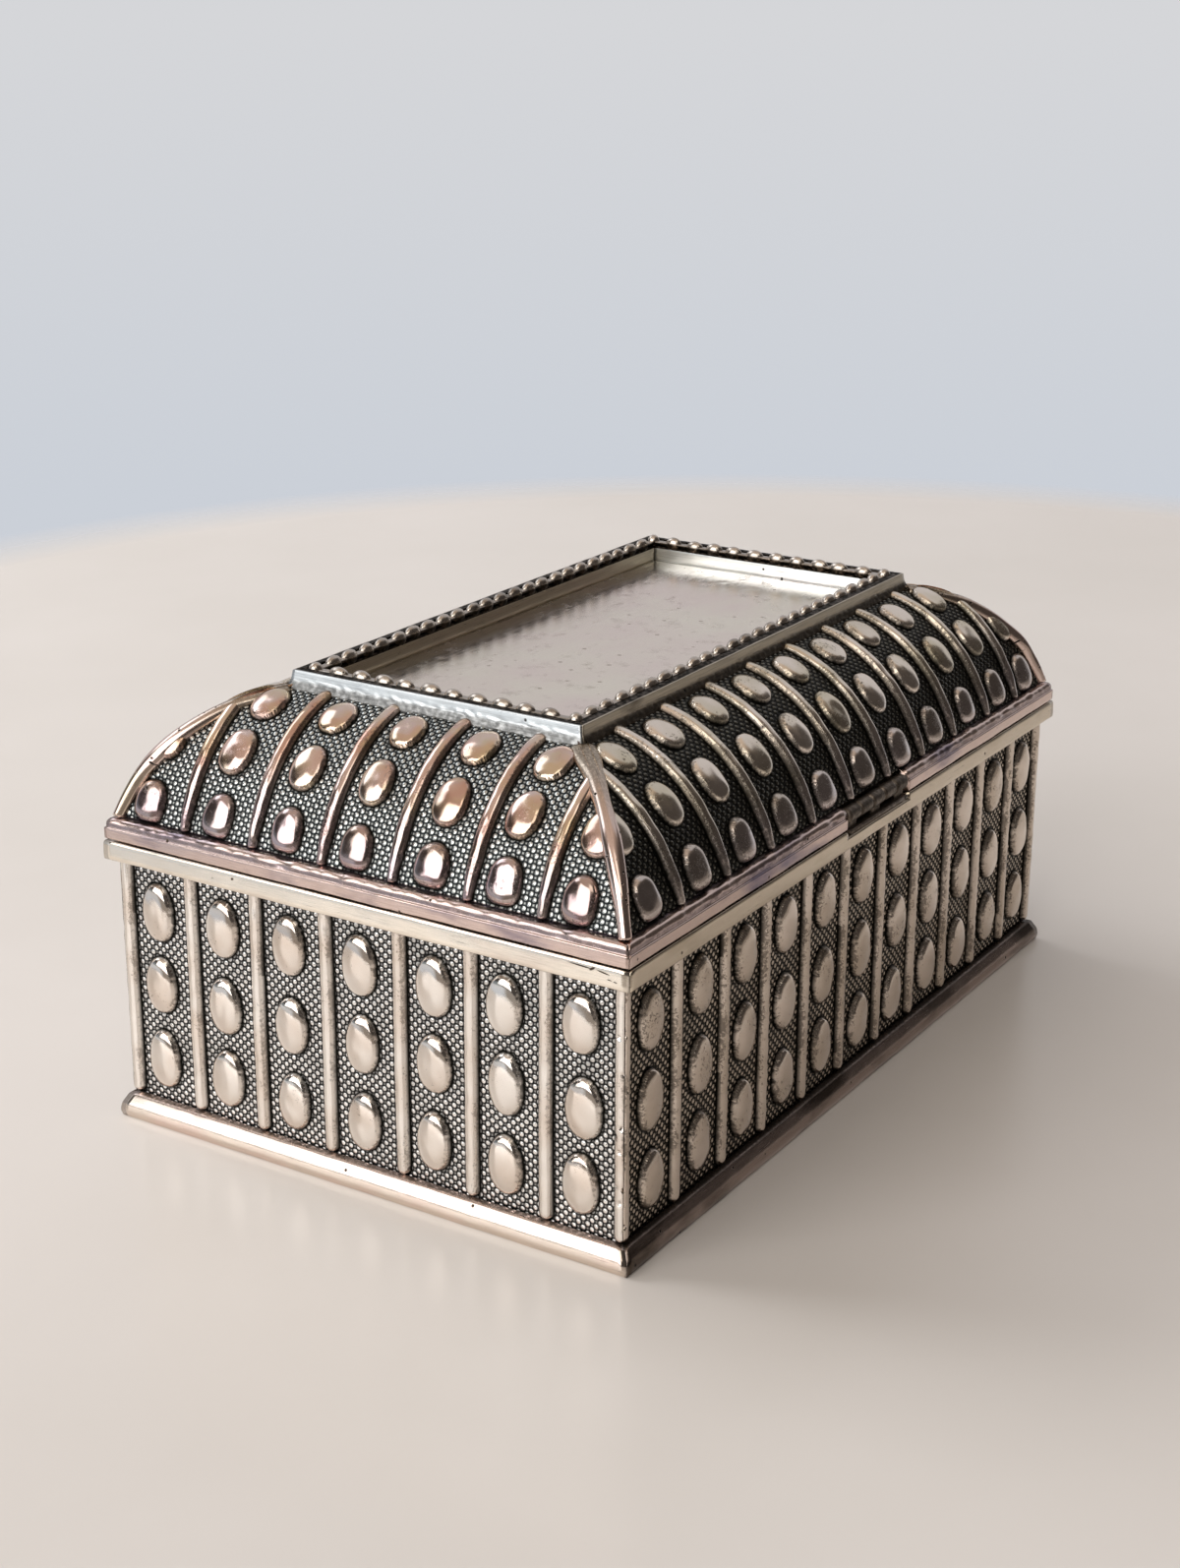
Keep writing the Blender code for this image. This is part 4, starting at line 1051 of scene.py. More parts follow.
def hip_rib(corner, seed):
    """A half-round rib along a hip, in the upright plane through its corner.

    At each length along the cove, the section is a half ellipse of a width that grows from foot to
    middle and again at the top, standing off the cove by its relief, over a flat underside.
    """
    sign_x, sign_y = CORNERS[corner]
    stations = 90
    top = run_at_inset(FRAME_INSET - 0.0003)
    v = np.linspace(0.0, top, stations)[None, :]
    inset, level, out_share, up_share = cove_ground(v)
    half_width = 0.0008 + 0.00042 * smoothstep(v / 0.009) + 0.0005 * smoothstep((v - 0.018) / 0.005)
    relief = 0.00065 + 0.00040 * smoothstep(v / 0.006) - 0.00045 * smoothstep((v - 0.016) / 0.007)
    underside = np.full_like(v, -0.0006)
    arc = np.linspace(0, np.pi, 13)[:, None]
    across = np.concatenate([np.cos(arc) * half_width, -half_width, half_width])
    lift = np.concatenate([np.sin(arc) * relief, underside, underside])
    wobble = 1 + 0.06 * ripple(seed, v + 0 * lift, 0 * lift, 0.006)
    across, lift = across * wobble, lift * wobble
    inward = inset - lift * out_share
    diagonal = across / math.sqrt(2)
    x = sign_x * (HALF_LENGTH - inward) + diagonal * sign_x
    y = sign_y * (HALF_WIDTH - inward) - diagonal * sign_y
    points = np.stack([x, y, level + lift * up_share], -1)
    fields = {
        "surface": np.stack([v + 0 * lift, across, 0 * lift + seed * 0.01], -1),
        "grime": 0.45 * smoothstep((v - 0.010) / 0.012) + 0 * lift,
    }
    return drawn_mesh(points, fields, flipped=sign_x * sign_y < 0)


# Mouldings and beads


def rounded_outline(corners, spacing=0.0004):
    """A closed outline in (out, up) with each corner (out, up, radius) eased by a parabola.

    The parabola starts and ends a radius from the corner. Straight stretches get a point about
    every spacing. The third column is the distance round the outline.
    """
    points = np.array([corner[:2] for corner in corners], float)
    radii = np.array([corner[2] for corner in corners], float)[:, None]
    before, after = np.roll(points, 1, 0) - points, np.roll(points, -1, 0) - points
    before /= np.linalg.norm(before, axis=1, keepdims=True)
    after /= np.linalg.norm(after, axis=1, keepdims=True)
    starts, stops = points + before * radii, points + after * radii
    t = np.linspace(0, 1, 5)[:, None]
    found = []
    for start, point, stop, following in zip(starts, points, stops, np.roll(starts, -1, 0)):
        found.append((1 - t) ** 2 * start + 2 * t * (1 - t) * point + t * t * stop)
        count = max(1, math.ceil(np.linalg.norm(following - stop) / spacing))
        share = (np.arange(1, count) / count)[:, None]
        found.append(stop + (following - stop) * share)
    line = np.concatenate(found)
    step_lengths = np.linalg.norm(np.diff(line, axis=0, append=line[:1]), axis=1)
    line = line[step_lengths > WELD_DISTANCE]
    run = np.r_[0, np.cumsum(np.linalg.norm(np.diff(line, axis=0), axis=1))]
    return np.column_stack([line, run])


def outline_normals(line):
    """Unit directions out of a closed outline that runs up its outer side."""
    ahead = np.roll(line[:, :2], -1, 0) - np.roll(line[:, :2], 1, 0)
    normals = np.stack([ahead[:, 1], -ahead[:, 0]], -1)
    return normals / np.linalg.norm(normals, axis=1, keepdims=True)


def moulding(side, line, dent, seed, grime, spacing=0.0012, rough=None):
    """A length of moulding with mitred ends: points = outline x stations along the side.

    Each point moves along the outline's normal by slow waves of the dent's depth, faded to nothing
    at the mitres, plus rough(along, out, up), which is more of the same at a finer scale.
    The darkening function of side, out and up gives the share of residue and painted shade in the creases
    and under edges.
    """
    turn, half_length, half_depth = SIDES[side]
    t = np.linspace(-1, 1, max(3, round(2 * half_length / spacing)))[None, :]
    out, up, around = (line[:, k : k + 1] + 0 * t for k in range(3))
    along = t * (half_length + out)
    shift = dent * ripple(seed, along, around, 0.012) + 0.4 * dent * ripple(seed + 1, along, around, 0.0035)
    if rough is not None:
        shift = shift + rough(along, out, up)
    shift = shift * (1 - np.abs(t) ** 24)
    normals = outline_normals(line)
    out, up = out + normals[:, :1] * shift, up + normals[:, 1:] * shift
    along = t * (half_length + out - SEAM)
    fields = {
        "surface": np.stack([along, around, np.full(along.shape, seed * 0.01)], -1),
        "grime": grime(side, out, up),
    }
    return drawn_mesh(turned(np.stack([along, half_depth + out, up], -1), turn), fields)


def rim_scratches(line):
    """The scratches in the surface coordinates of the near end's rim, whose along runs against Y."""
    shade = (SEEDS["body_rims"] + list(SIDES).index("right")) * 0.01
    face = line[np.abs(line[:, 0] - RIM_REACH) < 0.0001]
    found = []
    for across, level, slope, half_length, half_width in RIM_SCRATCHES:
        run = float(np.interp(level, face[:, 1], face[:, 2]))
        found.append(((-across, run, shade), slope, (half_length, half_width)))
    return found


def bead_border(side, sizes, seed):
    """A low rounded strip with oval beads on it, one of them at the corner that starts the side."""
    turn, half_length, half_depth = SIDES[side]
    rng = np.random.default_rng(seed)
    low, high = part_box(f"bead_strip_{side}")
    half_strip, strip_height, bead_rise, sink = 0.0006, 0.00045, 0.0011, 0.00005
    line_inset = FRAME_INSET + sizes.frame_ledge + 0.00095
    reach, middle = half_length - line_inset, half_depth - line_inset
    count = max(1, round(2 * reach / sizes.bead_pitch))
    along = np.linspace(-reach, reach, count + 1)[:-1] + np.r_[0, rng.normal(0, 0.00012, count - 1)]
    half_sizes = np.stack([
        sizes.bead_length / 2 * rng.normal(1, 0.05, count),
        sizes.bead_width / 2 * rng.normal(1, 0.05, count),
        np.full(count, bead_rise),
    ], -1)
    half_sizes[0, :2] = sizes.bead_width / 2 * 1.15
    out, lift = rng.normal(0, 0.00004, (2, count))
    centres = np.stack([along, middle + out, high.z - bead_rise + lift - sink], -1)
    strip_low = (-reach, middle - half_strip, low.z)
    strip_high = (reach, middle + half_strip, low.z + strip_height)
    strip = rounded_box(strip_low, strip_high, 0.0002)
    points, quads = shells(oval_bodies(centres, half_sizes, 12, 20), strip)
    # Painted shade: the strip and the lower part of each bead are darker, fading out upwards.
    grime = 1 - smoothstep((points[:, 2] - (high.z - 0.0013)) / 0.0005)
    return mesh_of(turned(points, turn), quads, fields={"surface": points, "grime": grime})


# Lining, base and top plate


def block_mesh(node, radius):
    """A frame piece's box with rounded edges."""
    return mesh_of(*rounded_box(*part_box(node), radius))


def pad_mesh(node, facing, sizes):
    """A thin stuffed pad: a flat seat and a crowned face with puckered, turned-in edges.

    With s the distance in from the edge over the tuck, the crown is sin of a quarter turn of s,
    and small folds run square to the edges and die out inwards.
    """
    seed = SEEDS[node]
    low, high, x, y = sheet_grid(node, 0.0009)
    to_x, to_y = np.minimum(x - low[0], high[0] - x), np.minimum(y - low[1], high[1] - y)
    s = np.clip(np.minimum(to_x, to_y) / sizes.tuck, 0, 1)
    crown = (high[2] - low[2]) * (0.30 + 0.62 * np.sin(s * np.pi / 2) ** 0.7)
    along_edge = np.where(to_x < to_y, y, x)
    fold = sizes.pucker * ripple(seed, along_edge, 0 * x, 0.004) * (1 - s) * np.clip(4 * s, 0, 1)
    slow = 0.6 * sizes.pucker * ripple(seed + 1, x, y, 0.03) * s
    seat = low[2] if facing > 0 else high[2]
    return slab_mesh(x, y, seat + facing * (crown + fold + slow), seat, facing)


def plate_mesh():
    """A thin plate: its top is a grid of slow waves with a few shallow round pits.

    A pit of radius r at distance d takes depth * (1 - (d / r)^2)^2 off the level.
    """
    low, high, x, y = sheet_grid("top_plate", 0.0006)
    rng = np.random.default_rng(SEEDS["top_plate"])
    pits, dished = 26, 0.00008
    level = 0.00005 * ripple(SEEDS["top_plate"], x, y, 0.022)
    for _ in range(pits):
        centre = rng.uniform(low[:2], high[:2])
        radius, depth = rng.uniform(0.0006, 0.0016), rng.uniform(0.00002, 0.00006)
        d = np.hypot(x - centre[0], y - centre[1]) / radius
        level = level - depth * np.clip(1 - d ** 2, 0, 1) ** 2
    return slab_mesh(x, y, high[2] - dished + level, low[2], 1)


# Hinge


def knuckle_starts(first):
    """Where every other knuckle starts along X."""
    pitch = KNUCKLE_LENGTH + KNUCKLE_GAP
    start = HINGE_X - (KNUCKLES * pitch - KNUCKLE_GAP) / 2
    return start + np.arange(first, KNUCKLES, 2) * pitch


def knuckles(first):
    """Every other knuckle: a bar whose ends are eased, slightly fuller in the middle."""
    t = np.linspace(0, 1, 13)
    ease = np.clip(np.minimum(t, 1 - t) / 0.08, 0, 1)
    radii = KNUCKLE_RADIUS * (0.86 + 0.12 * np.sqrt(ease) + 0.02 * np.sin(np.pi * t))
    return [turned_body(start + t * KNUCKLE_LENGTH, radii) for start in knuckle_starts(first)]


def hinge_half(first, leaf_low, leaf_high, web_low, web_high):
    """Mesh of a leaf, every other knuckle, and a web from the leaf to each; webs are given in (y, z)."""
    edge = 0.0002
    parts = [rounded_box(leaf_low, leaf_high, edge)]
    for start in knuckle_starts(first) + KNUCKLE_GAP:
        stop = start + KNUCKLE_LENGTH - 2 * KNUCKLE_GAP
        parts.append(rounded_box((start, *web_low), (stop, *web_high), edge))
    points, quads = shells(*parts, *knuckles(first))
    return mesh_of(points, quads, fields={"surface": points, "grime": np.full(len(points), 0.5)})


def pin_mesh():
    """The hinge's pin, with both ends rounded over in two steps."""
    low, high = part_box("hinge_pin")
    radius = (high.z - low.z) / 2
    ends = np.array([low.x, low.x + 0.3 * radius, low.x + radius])
    shares = np.array([0.5, 0.85, 1.0])
    stations = np.r_[ends, (low.x + high.x) - ends[::-1]]
    return mesh_of(*turned_body(stations, radius * np.r_[shares, shares[::-1]]))


# Stage


def add_camera(scene):
    """A camera that looks from the photograph's place, with the photograph's field of view."""
    data = bpy.data.cameras.new("camera")
    data.lens = FOCAL_PX * SENSOR_MM / PHOTO_HEIGHT_PX
    data.sensor_width = SENSOR_MM
    data.clip_start = 0.01
    data.clip_end = 20.0
    camera = bpy.data.objects.new("camera", data)
    azimuth, elevation, roll = (
        math.radians(angle) for angle in (CAMERA_AZIMUTH, CAMERA_ELEVATION, CAMERA_ROLL)
    )
    level = Matrix.Rotation(azimuth, 4, "Z") @ Matrix.Rotation(math.pi / 2 - elevation, 4, "X")
    camera.matrix_world = Matrix.Translation(CAMERA_PLACE) @ level @ Matrix.Rotation(-roll, 4, "Z")
    scene.collection.objects.link(camera)
    scene.camera = camera


def add_lamps(scene):
    """Two broad soft lamps for the cloth and the floor; the metal mirrors only the surround."""
    for name, (place, size, watts, value) in LAMPS.items():
        data = bpy.data.lights.new(name, "AREA")
        data.size = size
        data.energy = watts
        data.color = linear(value)[:3]
        lamp = bpy.data.objects.new(name, data)
        lamp.location = place
        lamp.rotation_euler = (-lamp.location).to_track_quat("-Z", "Y").to_euler()
        lamp.visible_glossy = False
        scene.collection.objects.link(lamp)


def add_floor(scene):
    """A round pale floor of honed stone that fades at its rim into the surround."""
    sides = 96
    around = np.linspace(0, 2 * np.pi, sides, endpoint=False)
    rim = np.stack([np.cos(around), np.sin(around), 0 * around], -1) * FLOOR_RADIUS
    mesh = bpy.data.meshes.new("floor")
    mesh.from_pydata(rim.tolist(), [], [list(range(sides))])
    made, tree, shader = new_material("honed_pale_stone")
    place = add_node(tree, "TexCoord", [], "Object")
    clouds = add_node(tree, "MapRange", [mottle(tree, place, 0.12), 0.35, 0.65])
    tints = {0: clouds, 6: linear("#dcd7d1"), 7: linear("#e2ddd8")}
    distance = add_node(tree, "VectorMath", [place], "Value", operation="LENGTH")
    set_inputs(tree, shader, {
        "Base Color": add_node(tree, "Mix", tints, 2, data_type="RGBA"),
        "Roughness": 0.26,
        "Alpha": add_node(tree, "MapRange", [distance, FLOOR_RADIUS, FLOOR_RADIUS - FLOOR_FADE]),
    })
    mesh.materials.append(made)
    floor = bpy.data.objects.new("floor", mesh)
    floor.location = FLOOR_CENTRE
    scene.collection.objects.link(floor)


def bounded(tree, value, low, high, soft):
    """1 between two limits, easing to 0 over a soft margin outside them."""
    above = add_node(tree, "MapRange", [value, low - soft, low])
    below = add_node(tree, "MapRange", [value, high + soft, high])
    return add_node(tree, "Math", [above, below], operation="MULTIPLY")


def add_surround(scene):
    """A room round the box, seen by the camera and by the metal alike.

    It goes by turn, in degrees from -Y towards +X, and by rise. The room is dark, and paler overhead
    on the side away from the hinge. A pale wall runs from the far end round to the front, a grey
    belt lies low down from there towards the near end, and there are three windows. Under the
    horizon is a table: pale from the far end round past the front, and darker elsewhere.
    """
    world = bpy.data.worlds.new("surround")
    scene.world = world
    world.use_nodes = True
    tree = world.node_tree
    direction = add_node(tree, "TexCoord", [], "Generated")
    x = add_node(tree, "SeparateXYZ", [direction])
    ahead = add_node(tree, "Math", [x.node.outputs["Y"], -1.0], operation="MULTIPLY")
    turn = add_node(tree, "Math", [x, ahead], operation="ARCTAN2")
    turn = add_node(tree, "Math", [turn], operation="DEGREES")
    rise = add_node(tree, "Math", [x.node.outputs["Z"]], operation="ARCSINE")
    rise = add_node(tree, "Math", [rise], operation="DEGREES")

    high_up = add_node(tree, "MapRange", [rise, 26, 55])
    forward = add_node(tree, "MapRange", [ahead, -0.6, -0.2])
    overhead = add_node(tree, "Math", [high_up, forward], operation="MULTIPLY")
    belt = add_node(tree, "MapRange", [rise, 12, 6])
    belt = add_node(tree, "Math", [bounded(tree, turn, -10, 52, 12), belt], operation="MULTIPLY")
    lean = add_node(tree, "MapRange", [rise, 30, 42, 0, 18])
    leaning = add_node(tree, "Math", [turn, lean], operation="ADD")
    wall = add_node(tree, "MapRange", [rise, 75, 55])
    wall = add_node(tree, "Math", [bounded(tree, leaning, -104, 8, 7), wall], operation="MULTIPLY")
    layers = [(overhead, linear("#c8b8aa")), (belt, linear("#7d858a")), (wall, linear("#c6c4c6"))]
    for low, high, foot, head, soft, strength, value in WINDOWS:
        sides, ends = bounded(tree, turn, low, high, soft), bounded(tree, rise, foot, head, soft)
        pane = add_node(tree, "Math", [sides, ends], operation="MULTIPLY")
        layers.append((pane, shaded(linear(value), strength)))
    room = linear("#47423f")
    for share, colour in layers:
        room = add_node(tree, "Mix", {0: share, 6: room, 7: colour}, 2, data_type="RGBA")

    paler = add_node(tree, "MapRange", [rise, -12, -2])
    backdrop = {0: paler, 6: linear("#cbd0d8"), 7: linear("#d5d6d9")}
    backdrop = add_node(tree, "Mix", backdrop, 2, data_type="RGBA")
    beyond = bounded(tree, turn, -105, 62, 15)
    table = add_node(tree, "Mix", {0: beyond, 6: linear("#968e86"), 7: backdrop}, 2, data_type="RGBA")
    below = add_node(tree, "MapRange", [rise, 1, -1])
    room = add_node(tree, "Mix", {0: below, 6: room, 7: table}, 2, data_type="RGBA")
    set_inputs(tree, tree.nodes["Background"], {"Color": room, "Strength": 1.0})


# Operators


class TRINKET_OT_stage(bpy.types.Operator):
    """Camera at the photograph's place, soft lamps, a pale floor and a pale surround"""

    bl_idname = "trinket.stage"
    bl_label = "Stage"

    def execute(self, context):
        scene = context.scene
        add_camera(scene)
        add_lamps(scene)
        add_floor(scene)
        add_surround(scene)
        scene.view_settings.view_transform = "Standard"
        return {"FINISHED"}


class TRINKET_OT_walls(bpy.types.Operator):
    """Four upright relief walls of the body"""

    bl_idname = "trinket.walls"
    bl_label = "Walls"

    def execute(self, context):
        sizes = context.scene.trinket_relief
        tones = tones_of(context)
        # The long-side copy is the end copy made darker as painted shade: duller toning, greyer bead tips,
        # a blacker ground, more black specks and fewer dots.
        end = relief_silver(
            "blackened_cast_silver_wall_end", tones, tones["fresh"], tones["cream"],
            tip=linear("#fbf9f6"), tip_size=0.39, ground=linear("#2a2a2a"),
            rough=0.11, worn=0.12, dots=0.35,
        )
        long = relief_silver(
            "blackened_cast_silver_wall_side", tones, tones["cream"], linear("#cdbfb0"),
            tip=linear("#c9bdae"), tip_size=0.37, ground=linear("#1d1c1a"),
            rough=0.15, worn=0.4, dots=0.2,
        )

        def build(side, index):
            return wall_panel(side, sizes, SEEDS["walls"] + index)

        finished_sides("{}_wall_relief", build, (end, long), "body", "{}_wall")
        return {"FINISHED"}


class TRINKET_OT_plinth(bpy.types.Operator):
    """Base moulding, in four mitred lengths"""

    bl_idname = "trinket.plinth"
    bl_label = "Plinth"

    def execute(self, context):
        sizes = context.scene.trinket_mouldings
        tones = tones_of(context)
        reach, face = sizes.plinth_reach, sizes.plinth_face
        inside = -0.00062
        line = rounded_outline([
            (inside, 0.0, 0.0001),
            (reach - 0.0002, 0.0, 0.00012),
            (reach, face * 0.45, 0.0003),
            (reach - 0.00015, face, 0.0004),
            (0.0003, PLINTH_TOP - 0.0002, 0.0003),
            (inside, PLINTH_TOP, 0.0001),
        ])
        # The long-side copy is a darker version of the end's: painted shade.
        end = silver_plate(
            "buffed_silver_plinth_end", tones["cream"], tones["blush"], tones["smoke"],
            warm_share=0.3, rough=0.16, pits=0.05,
        )
        long = silver_plate(
            "toned_silver_plinth_side", linear("#b3a39b"), linear("#62574f"), tones["black"],
            warm_share=0.6, rough=0.22, pits=0.06,
        )

        def grime(side, out, up):
            return 0.8 * near(up, PLINTH_TOP, 0.0005)

        def build(side, index):
            return moulding(side, line, sizes.dent, SEEDS["plinth"] + index, grime)

        finished_sides("plinth_{}_moulding", build, (end, long), "body", "plinth_{}")
        return {"FINISHED"}


class TRINKET_OT_body_rims(bpy.types.Operator):
    """Plain flat rim of the body, in four mitred lengths"""

    bl_idname = "trinket.body_rims"
    bl_label = "Body rims"

    def execute(self, context):
        sizes = context.scene.trinket_mouldings
        tones = tones_of(context)
        line = rounded_outline([
            (-sizes.rim_depth, RIM_BOTTOM, 0.0001),
            (RIM_REACH - 0.00004, RIM_BOTTOM, 0.0002),
            (RIM_REACH, RIM_BOTTOM + 0.0006, 0.0002),
            (RIM_REACH - 0.00004, RIM_TOP - 0.0004, 0.00015),
            (RIM_REACH - 0.00018, RIM_TOP, 0.00014),
            (-sizes.rim_depth, RIM_TOP, 0.0002),
        ])
        # The long-side copy is darker than the bright end copy: painted shade.
        plates = [
            silver_plate(
                name, light, warm, tones["smoke"],
                warm_share=0.3, rough=0.17, pits=0.03, marks=rim_scratches(line),
            )
            for name, light, warm in (
                ("buffed_silver_body_rim_end", linear("#fbf2e4"), tones["cream"]),
                ("toned_silver_body_rim_side", linear("#d9ccb9"), linear("#bdb09b")),
            )
        ]

        def grime(side, out, up):
            # Darker along the rim's underside and along the parting line at its top edge: residue with
            # painted shade.
            return 0.8 * near(up, RIM_BOTTOM, 0.00015) + 0.3 * near(up, RIM_TOP, 0.00012) * (out > 0)

        def build(side, index):
            """The back one has a sunk seat for the hinge's leaf."""
            mesh = moulding(side, line, sizes.dent, SEEDS["body_rims"] + index, grime)
            if side != "back":
                return mesh
            low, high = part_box("body_hinge_leaf")
            seat = RIM_TOP - HINGE_LEAF - 0.0003
            return cut_out(
                mesh,
                (low.x - LEAF_ROOM[0], low.y - LEAF_ROOM[1], seat),
                (high.x + LEAF_ROOM[0], 1, 1),
            )

        finished_sides("body_rim_{}_moulding", build, plates, "body", "body_rim_{}")
        return {"FINISHED"}


class TRINKET_OT_lining(bpy.types.Operator):
    """Velvet-covered cards against the walls and a padded velvet floor"""

    bl_idname = "trinket.lining"
    bl_label = "Body lining"

    def execute(self, context):
        sizes = context.scene.trinket_lining
        made = velvet("cotton_velvet", "#161b38")

        def build(side, index):
            return block_mesh(f"{side}_liner", sizes.card_round)

        finished_sides("{}_velvet_card", build, (made, made), "body", "{}_liner")
        mesh = pad_mesh("floor_pad", 1, sizes)
        pad = finished("floor_velvet_pad", mesh, made, "body", "floor_pad")
        return {"FINISHED"}


class TRINKET_OT_base(bpy.types.Operator):
    """Felt under the base, and the plain floor plate between felt and lining"""

    bl_idname = "trinket.base"
    bl_label = "Base"

    def execute(self, context):
        tones = tones_of(context)
        mesh = block_mesh("base_felt", 0.0003)
        finished("base_wool_felt", mesh, felt("pressed_wool_felt", "#1c3a2c"), "body", "base_felt")
        dressed("floor_plate", marked_metal(
            "rolled_silvered_sheet", tones["cream"], tones["fresh"],
            mark_width=0.0006, mark_length_share=20.0, start=0.3, stop=0.7, rough=0.4,
        ))
        return {"FINISHED"}


class TRINKET_OT_lid_panels(bpy.types.Operator):
    """Four coved relief panels of the lid"""

    bl_idname = "trinket.lid_panels"
    bl_label = "Lid panels"

    def execute(self, context):
        sizes = context.scene.trinket_relief
        tones = tones_of(context)
        end = relief_silver(
            "blackened_cast_silver_lid_end", tones, tones["blush"], tones["rose"],
            tip=linear("#dcdfdb"), tip_size=0.37, ground=linear("#25292b"),
            rough=0.14, worn=0.25, dots=0.45, violet=0.6, straw=0.6,
        )
        long = relief_silver(
            "blackened_cast_silver_lid_side", tones, linear("#f3e7da"), linear("#d8cdb6"),
            tip=tones["ash"], tip_size=0.38, ground=linear("#222220"),
            rough=0.17, worn=0.45, dots=0.3, violet=0.5,
        )

        def build(side, index):
            return lid_relief(side, sizes, SEEDS["lid_panels"] + index)

        finished_sides("lid_{}_relief", build, (end, long), "lid", "lid_panel_{}")
        return {"FINISHED"}


class TRINKET_OT_hip_ribs(bpy.types.Operator):
    """Four ribs along the hips of the lid"""

    bl_idname = "trinket.hip_ribs"
    bl_label = "Hip ribs"

    def execute(self, context):
        tones = tones_of(context)
        made = silver_plate(
            "toned_silver_hip_rib", tones["blush"], linear("#b9ae92"), tones["black"],
            warm_share=0.1, rough=0.16, pits=0.32, pit_spacing=0.0006, pit_size=0.3,
        )
        for index, corner in enumerate(CORNERS):
            node, mesh = f"hip_rib_{corner}", hip_rib(corner, SEEDS["hip_ribs"] + index)
            finished(f"{node}_cord", mesh, made, "lid", node)
        return {"FINISHED"}


class TRINKET_OT_lid_rims(bpy.types.Operator):
    """Rim of the lid with a rough soldered ledge, in four mitred lengths"""

    bl_idname = "trinket.lid_rims"
    bl_label = "Lid rims"

    def execute(self, context):
        sizes = context.scene.trinket_mouldings
        reach = sizes.lid_reach
        under = LID_RIM_BOTTOM - 0.0001
        line = rounded_outline([
            (-sizes.rim_depth, under, 0.0001),
            (reach - 0.00012, under, 0.00008),
            (reach, LID_RIM_BOTTOM + 0.00005, 0.00008),
            (reach + 0.00002, LID_RIM_TOP - 0.00125, 0.00012),
            (reach - 0.0002, LID_RIM_TOP - 0.00112, 0.0001),
            (reach - 0.00024, LID_RIM_TOP - 0.0004, 0.00025),
            (reach - 0.0006, LID_RIM_TOP + 0.00005, 0.00025),
            (reach - 0.0017, LID_RIM_TOP + 0.0002, 0.0001),
            (-sizes.rim_depth, LID_RIM_TOP, 0.0001),
        ], spacing=0.00025)
        made = silver_plate(
            "toned_silver_lid_rim", linear("#dfc9c0"), linear("#8d8190"), tones_of(context)["smoke"],
            warm_share=0.35, rough=0.2, pits=0.06,
        )

        def solder(along, out, up):
            on_ledge = smoothstep((up - LID_RIM_TOP + 0.0011) / 0.0004) * (out > -0.0006)
            fine = 0.00006 * ripple(SEEDS["lid_solder"], along, out + up, 0.0011, 12)
            return (fine + 0.00008 * ripple(SEEDS["lid_ledge"], along, 0 * up, 0.005)) * on_ledge

        def grime(side, out, up):
            ledge = smoothstep((reach - 0.0010 - out) / 0.0004) * (up > LID_RIM_TOP - 0.0004)
            return np.maximum(0.42 * near(up, LID_RIM_TOP - 0.0008, 0.0005), 0.8 * ledge)

        def build(side, index):
            """The back one has a notch through it for the hinge."""
            seed = SEEDS["lid_rims"] + index
            mesh = moulding(side, line, sizes.dent, seed, grime, spacing=0.0006, rough=solder)
            if side != "back":
                return mesh
            low, high = (np.array(corner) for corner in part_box("lid_hinge_leaf"))
            return cut_out(mesh, low - (*LEAF_ROOM, 0.01), high + (LEAF_ROOM[0], 1, 0.01))

        finished_sides("lid_rim_{}_moulding", build, (made, made), "lid", "lid_rim_{}")
        return {"FINISHED"}


class TRINKET_OT_top_frame(bpy.types.Operator):
    """Flat frame on top of the lid, in four mitred lengths, on a low foot of solder"""

    bl_idname = "trinket.top_frame"
    bl_label = "Top frame"

    def execute(self, context):
        sizes = context.scene.trinket_mouldings
        tones = tones_of(context)
        outer = -FRAME_INSET
        ledge, inner = outer - sizes.frame_ledge, outer - sizes.frame_band
        floor, shelf = FRAME_TOP - sizes.groove, DOME_TOP + 0.0002
        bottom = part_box("top_frame_back")[0].z
        ground = float(cove_ground(run_at_inset(FRAME_INSET))[1])
        foot, flange = outer + 0.0006, inner + 0.0009
        line = rounded_outline([
            (foot, ground - 0.0004, 0.0001),
            (foot, ground + 0.0001, 0.0001),
            (outer + 0.0001, shelf + 0.0003, 0.0003),
            (outer - 0.0001, FRAME_TOP - 0.00008, 0.0001),
            (ledge, FRAME_TOP, 0.00012),
            (ledge - 0.00012, floor, 0.0002),
            (inner + 0.0001, floor, 0.00015),
            (inner, floor - 0.0004, 0.00015),
            (inner, bottom, 0.0001),
            (flange, bottom, 0.0001),
            (flange, ground - 0.0004, 0.0001),
        ], spacing=0.0003)
        # The long-side copy is darker and warmer than the cool end copy: painted shade.
        plates = [
            silver_plate(
                name, light, tones["smoke"], tones["black"],
                warm_share=0.15, rough=0.34, pits=0.03, brush=14.0,
            )
            for name, light in (
                ("brushed_silver_frame_end", tones["cool"]),
                ("brushed_silver_frame_side", linear("#d0c6b4")),
            )
        ]

        def solder(along, out, up):
            low_part = smoothstep((shelf + 0.0009 - up) / 0.0007) * (out > ledge)
            return 0.0001 * ripple(SEEDS["frame_solder"], along, up, 0.0009, 12) * low_part

        def grime(side, out, up):
            # Dark over the ledge and the groove inside the outer edge. The solder foot is darkened as well,
            # and more on the long sides: painted shade there.
            sunk = (out < outer - 0.00030) * (up > floor - 0.0003)
            low_part = smoothstep((shelf + 0.0005 - up) / 0.0006) * (out > ledge)
            return np.maximum(0.97 * sunk, (0.6 if side in LONG_SIDES else 0.4) * low_part)

        def build(side, index):
            seed = SEEDS["top_frame"] + index
            return moulding(side, line, 0.6 * sizes.dent, seed, grime, spacing=0.0008, rough=solder)

        finished_sides("top_frame_{}_moulding", build, plates, "lid", "top_frame_{}")
        return {"FINISHED"}


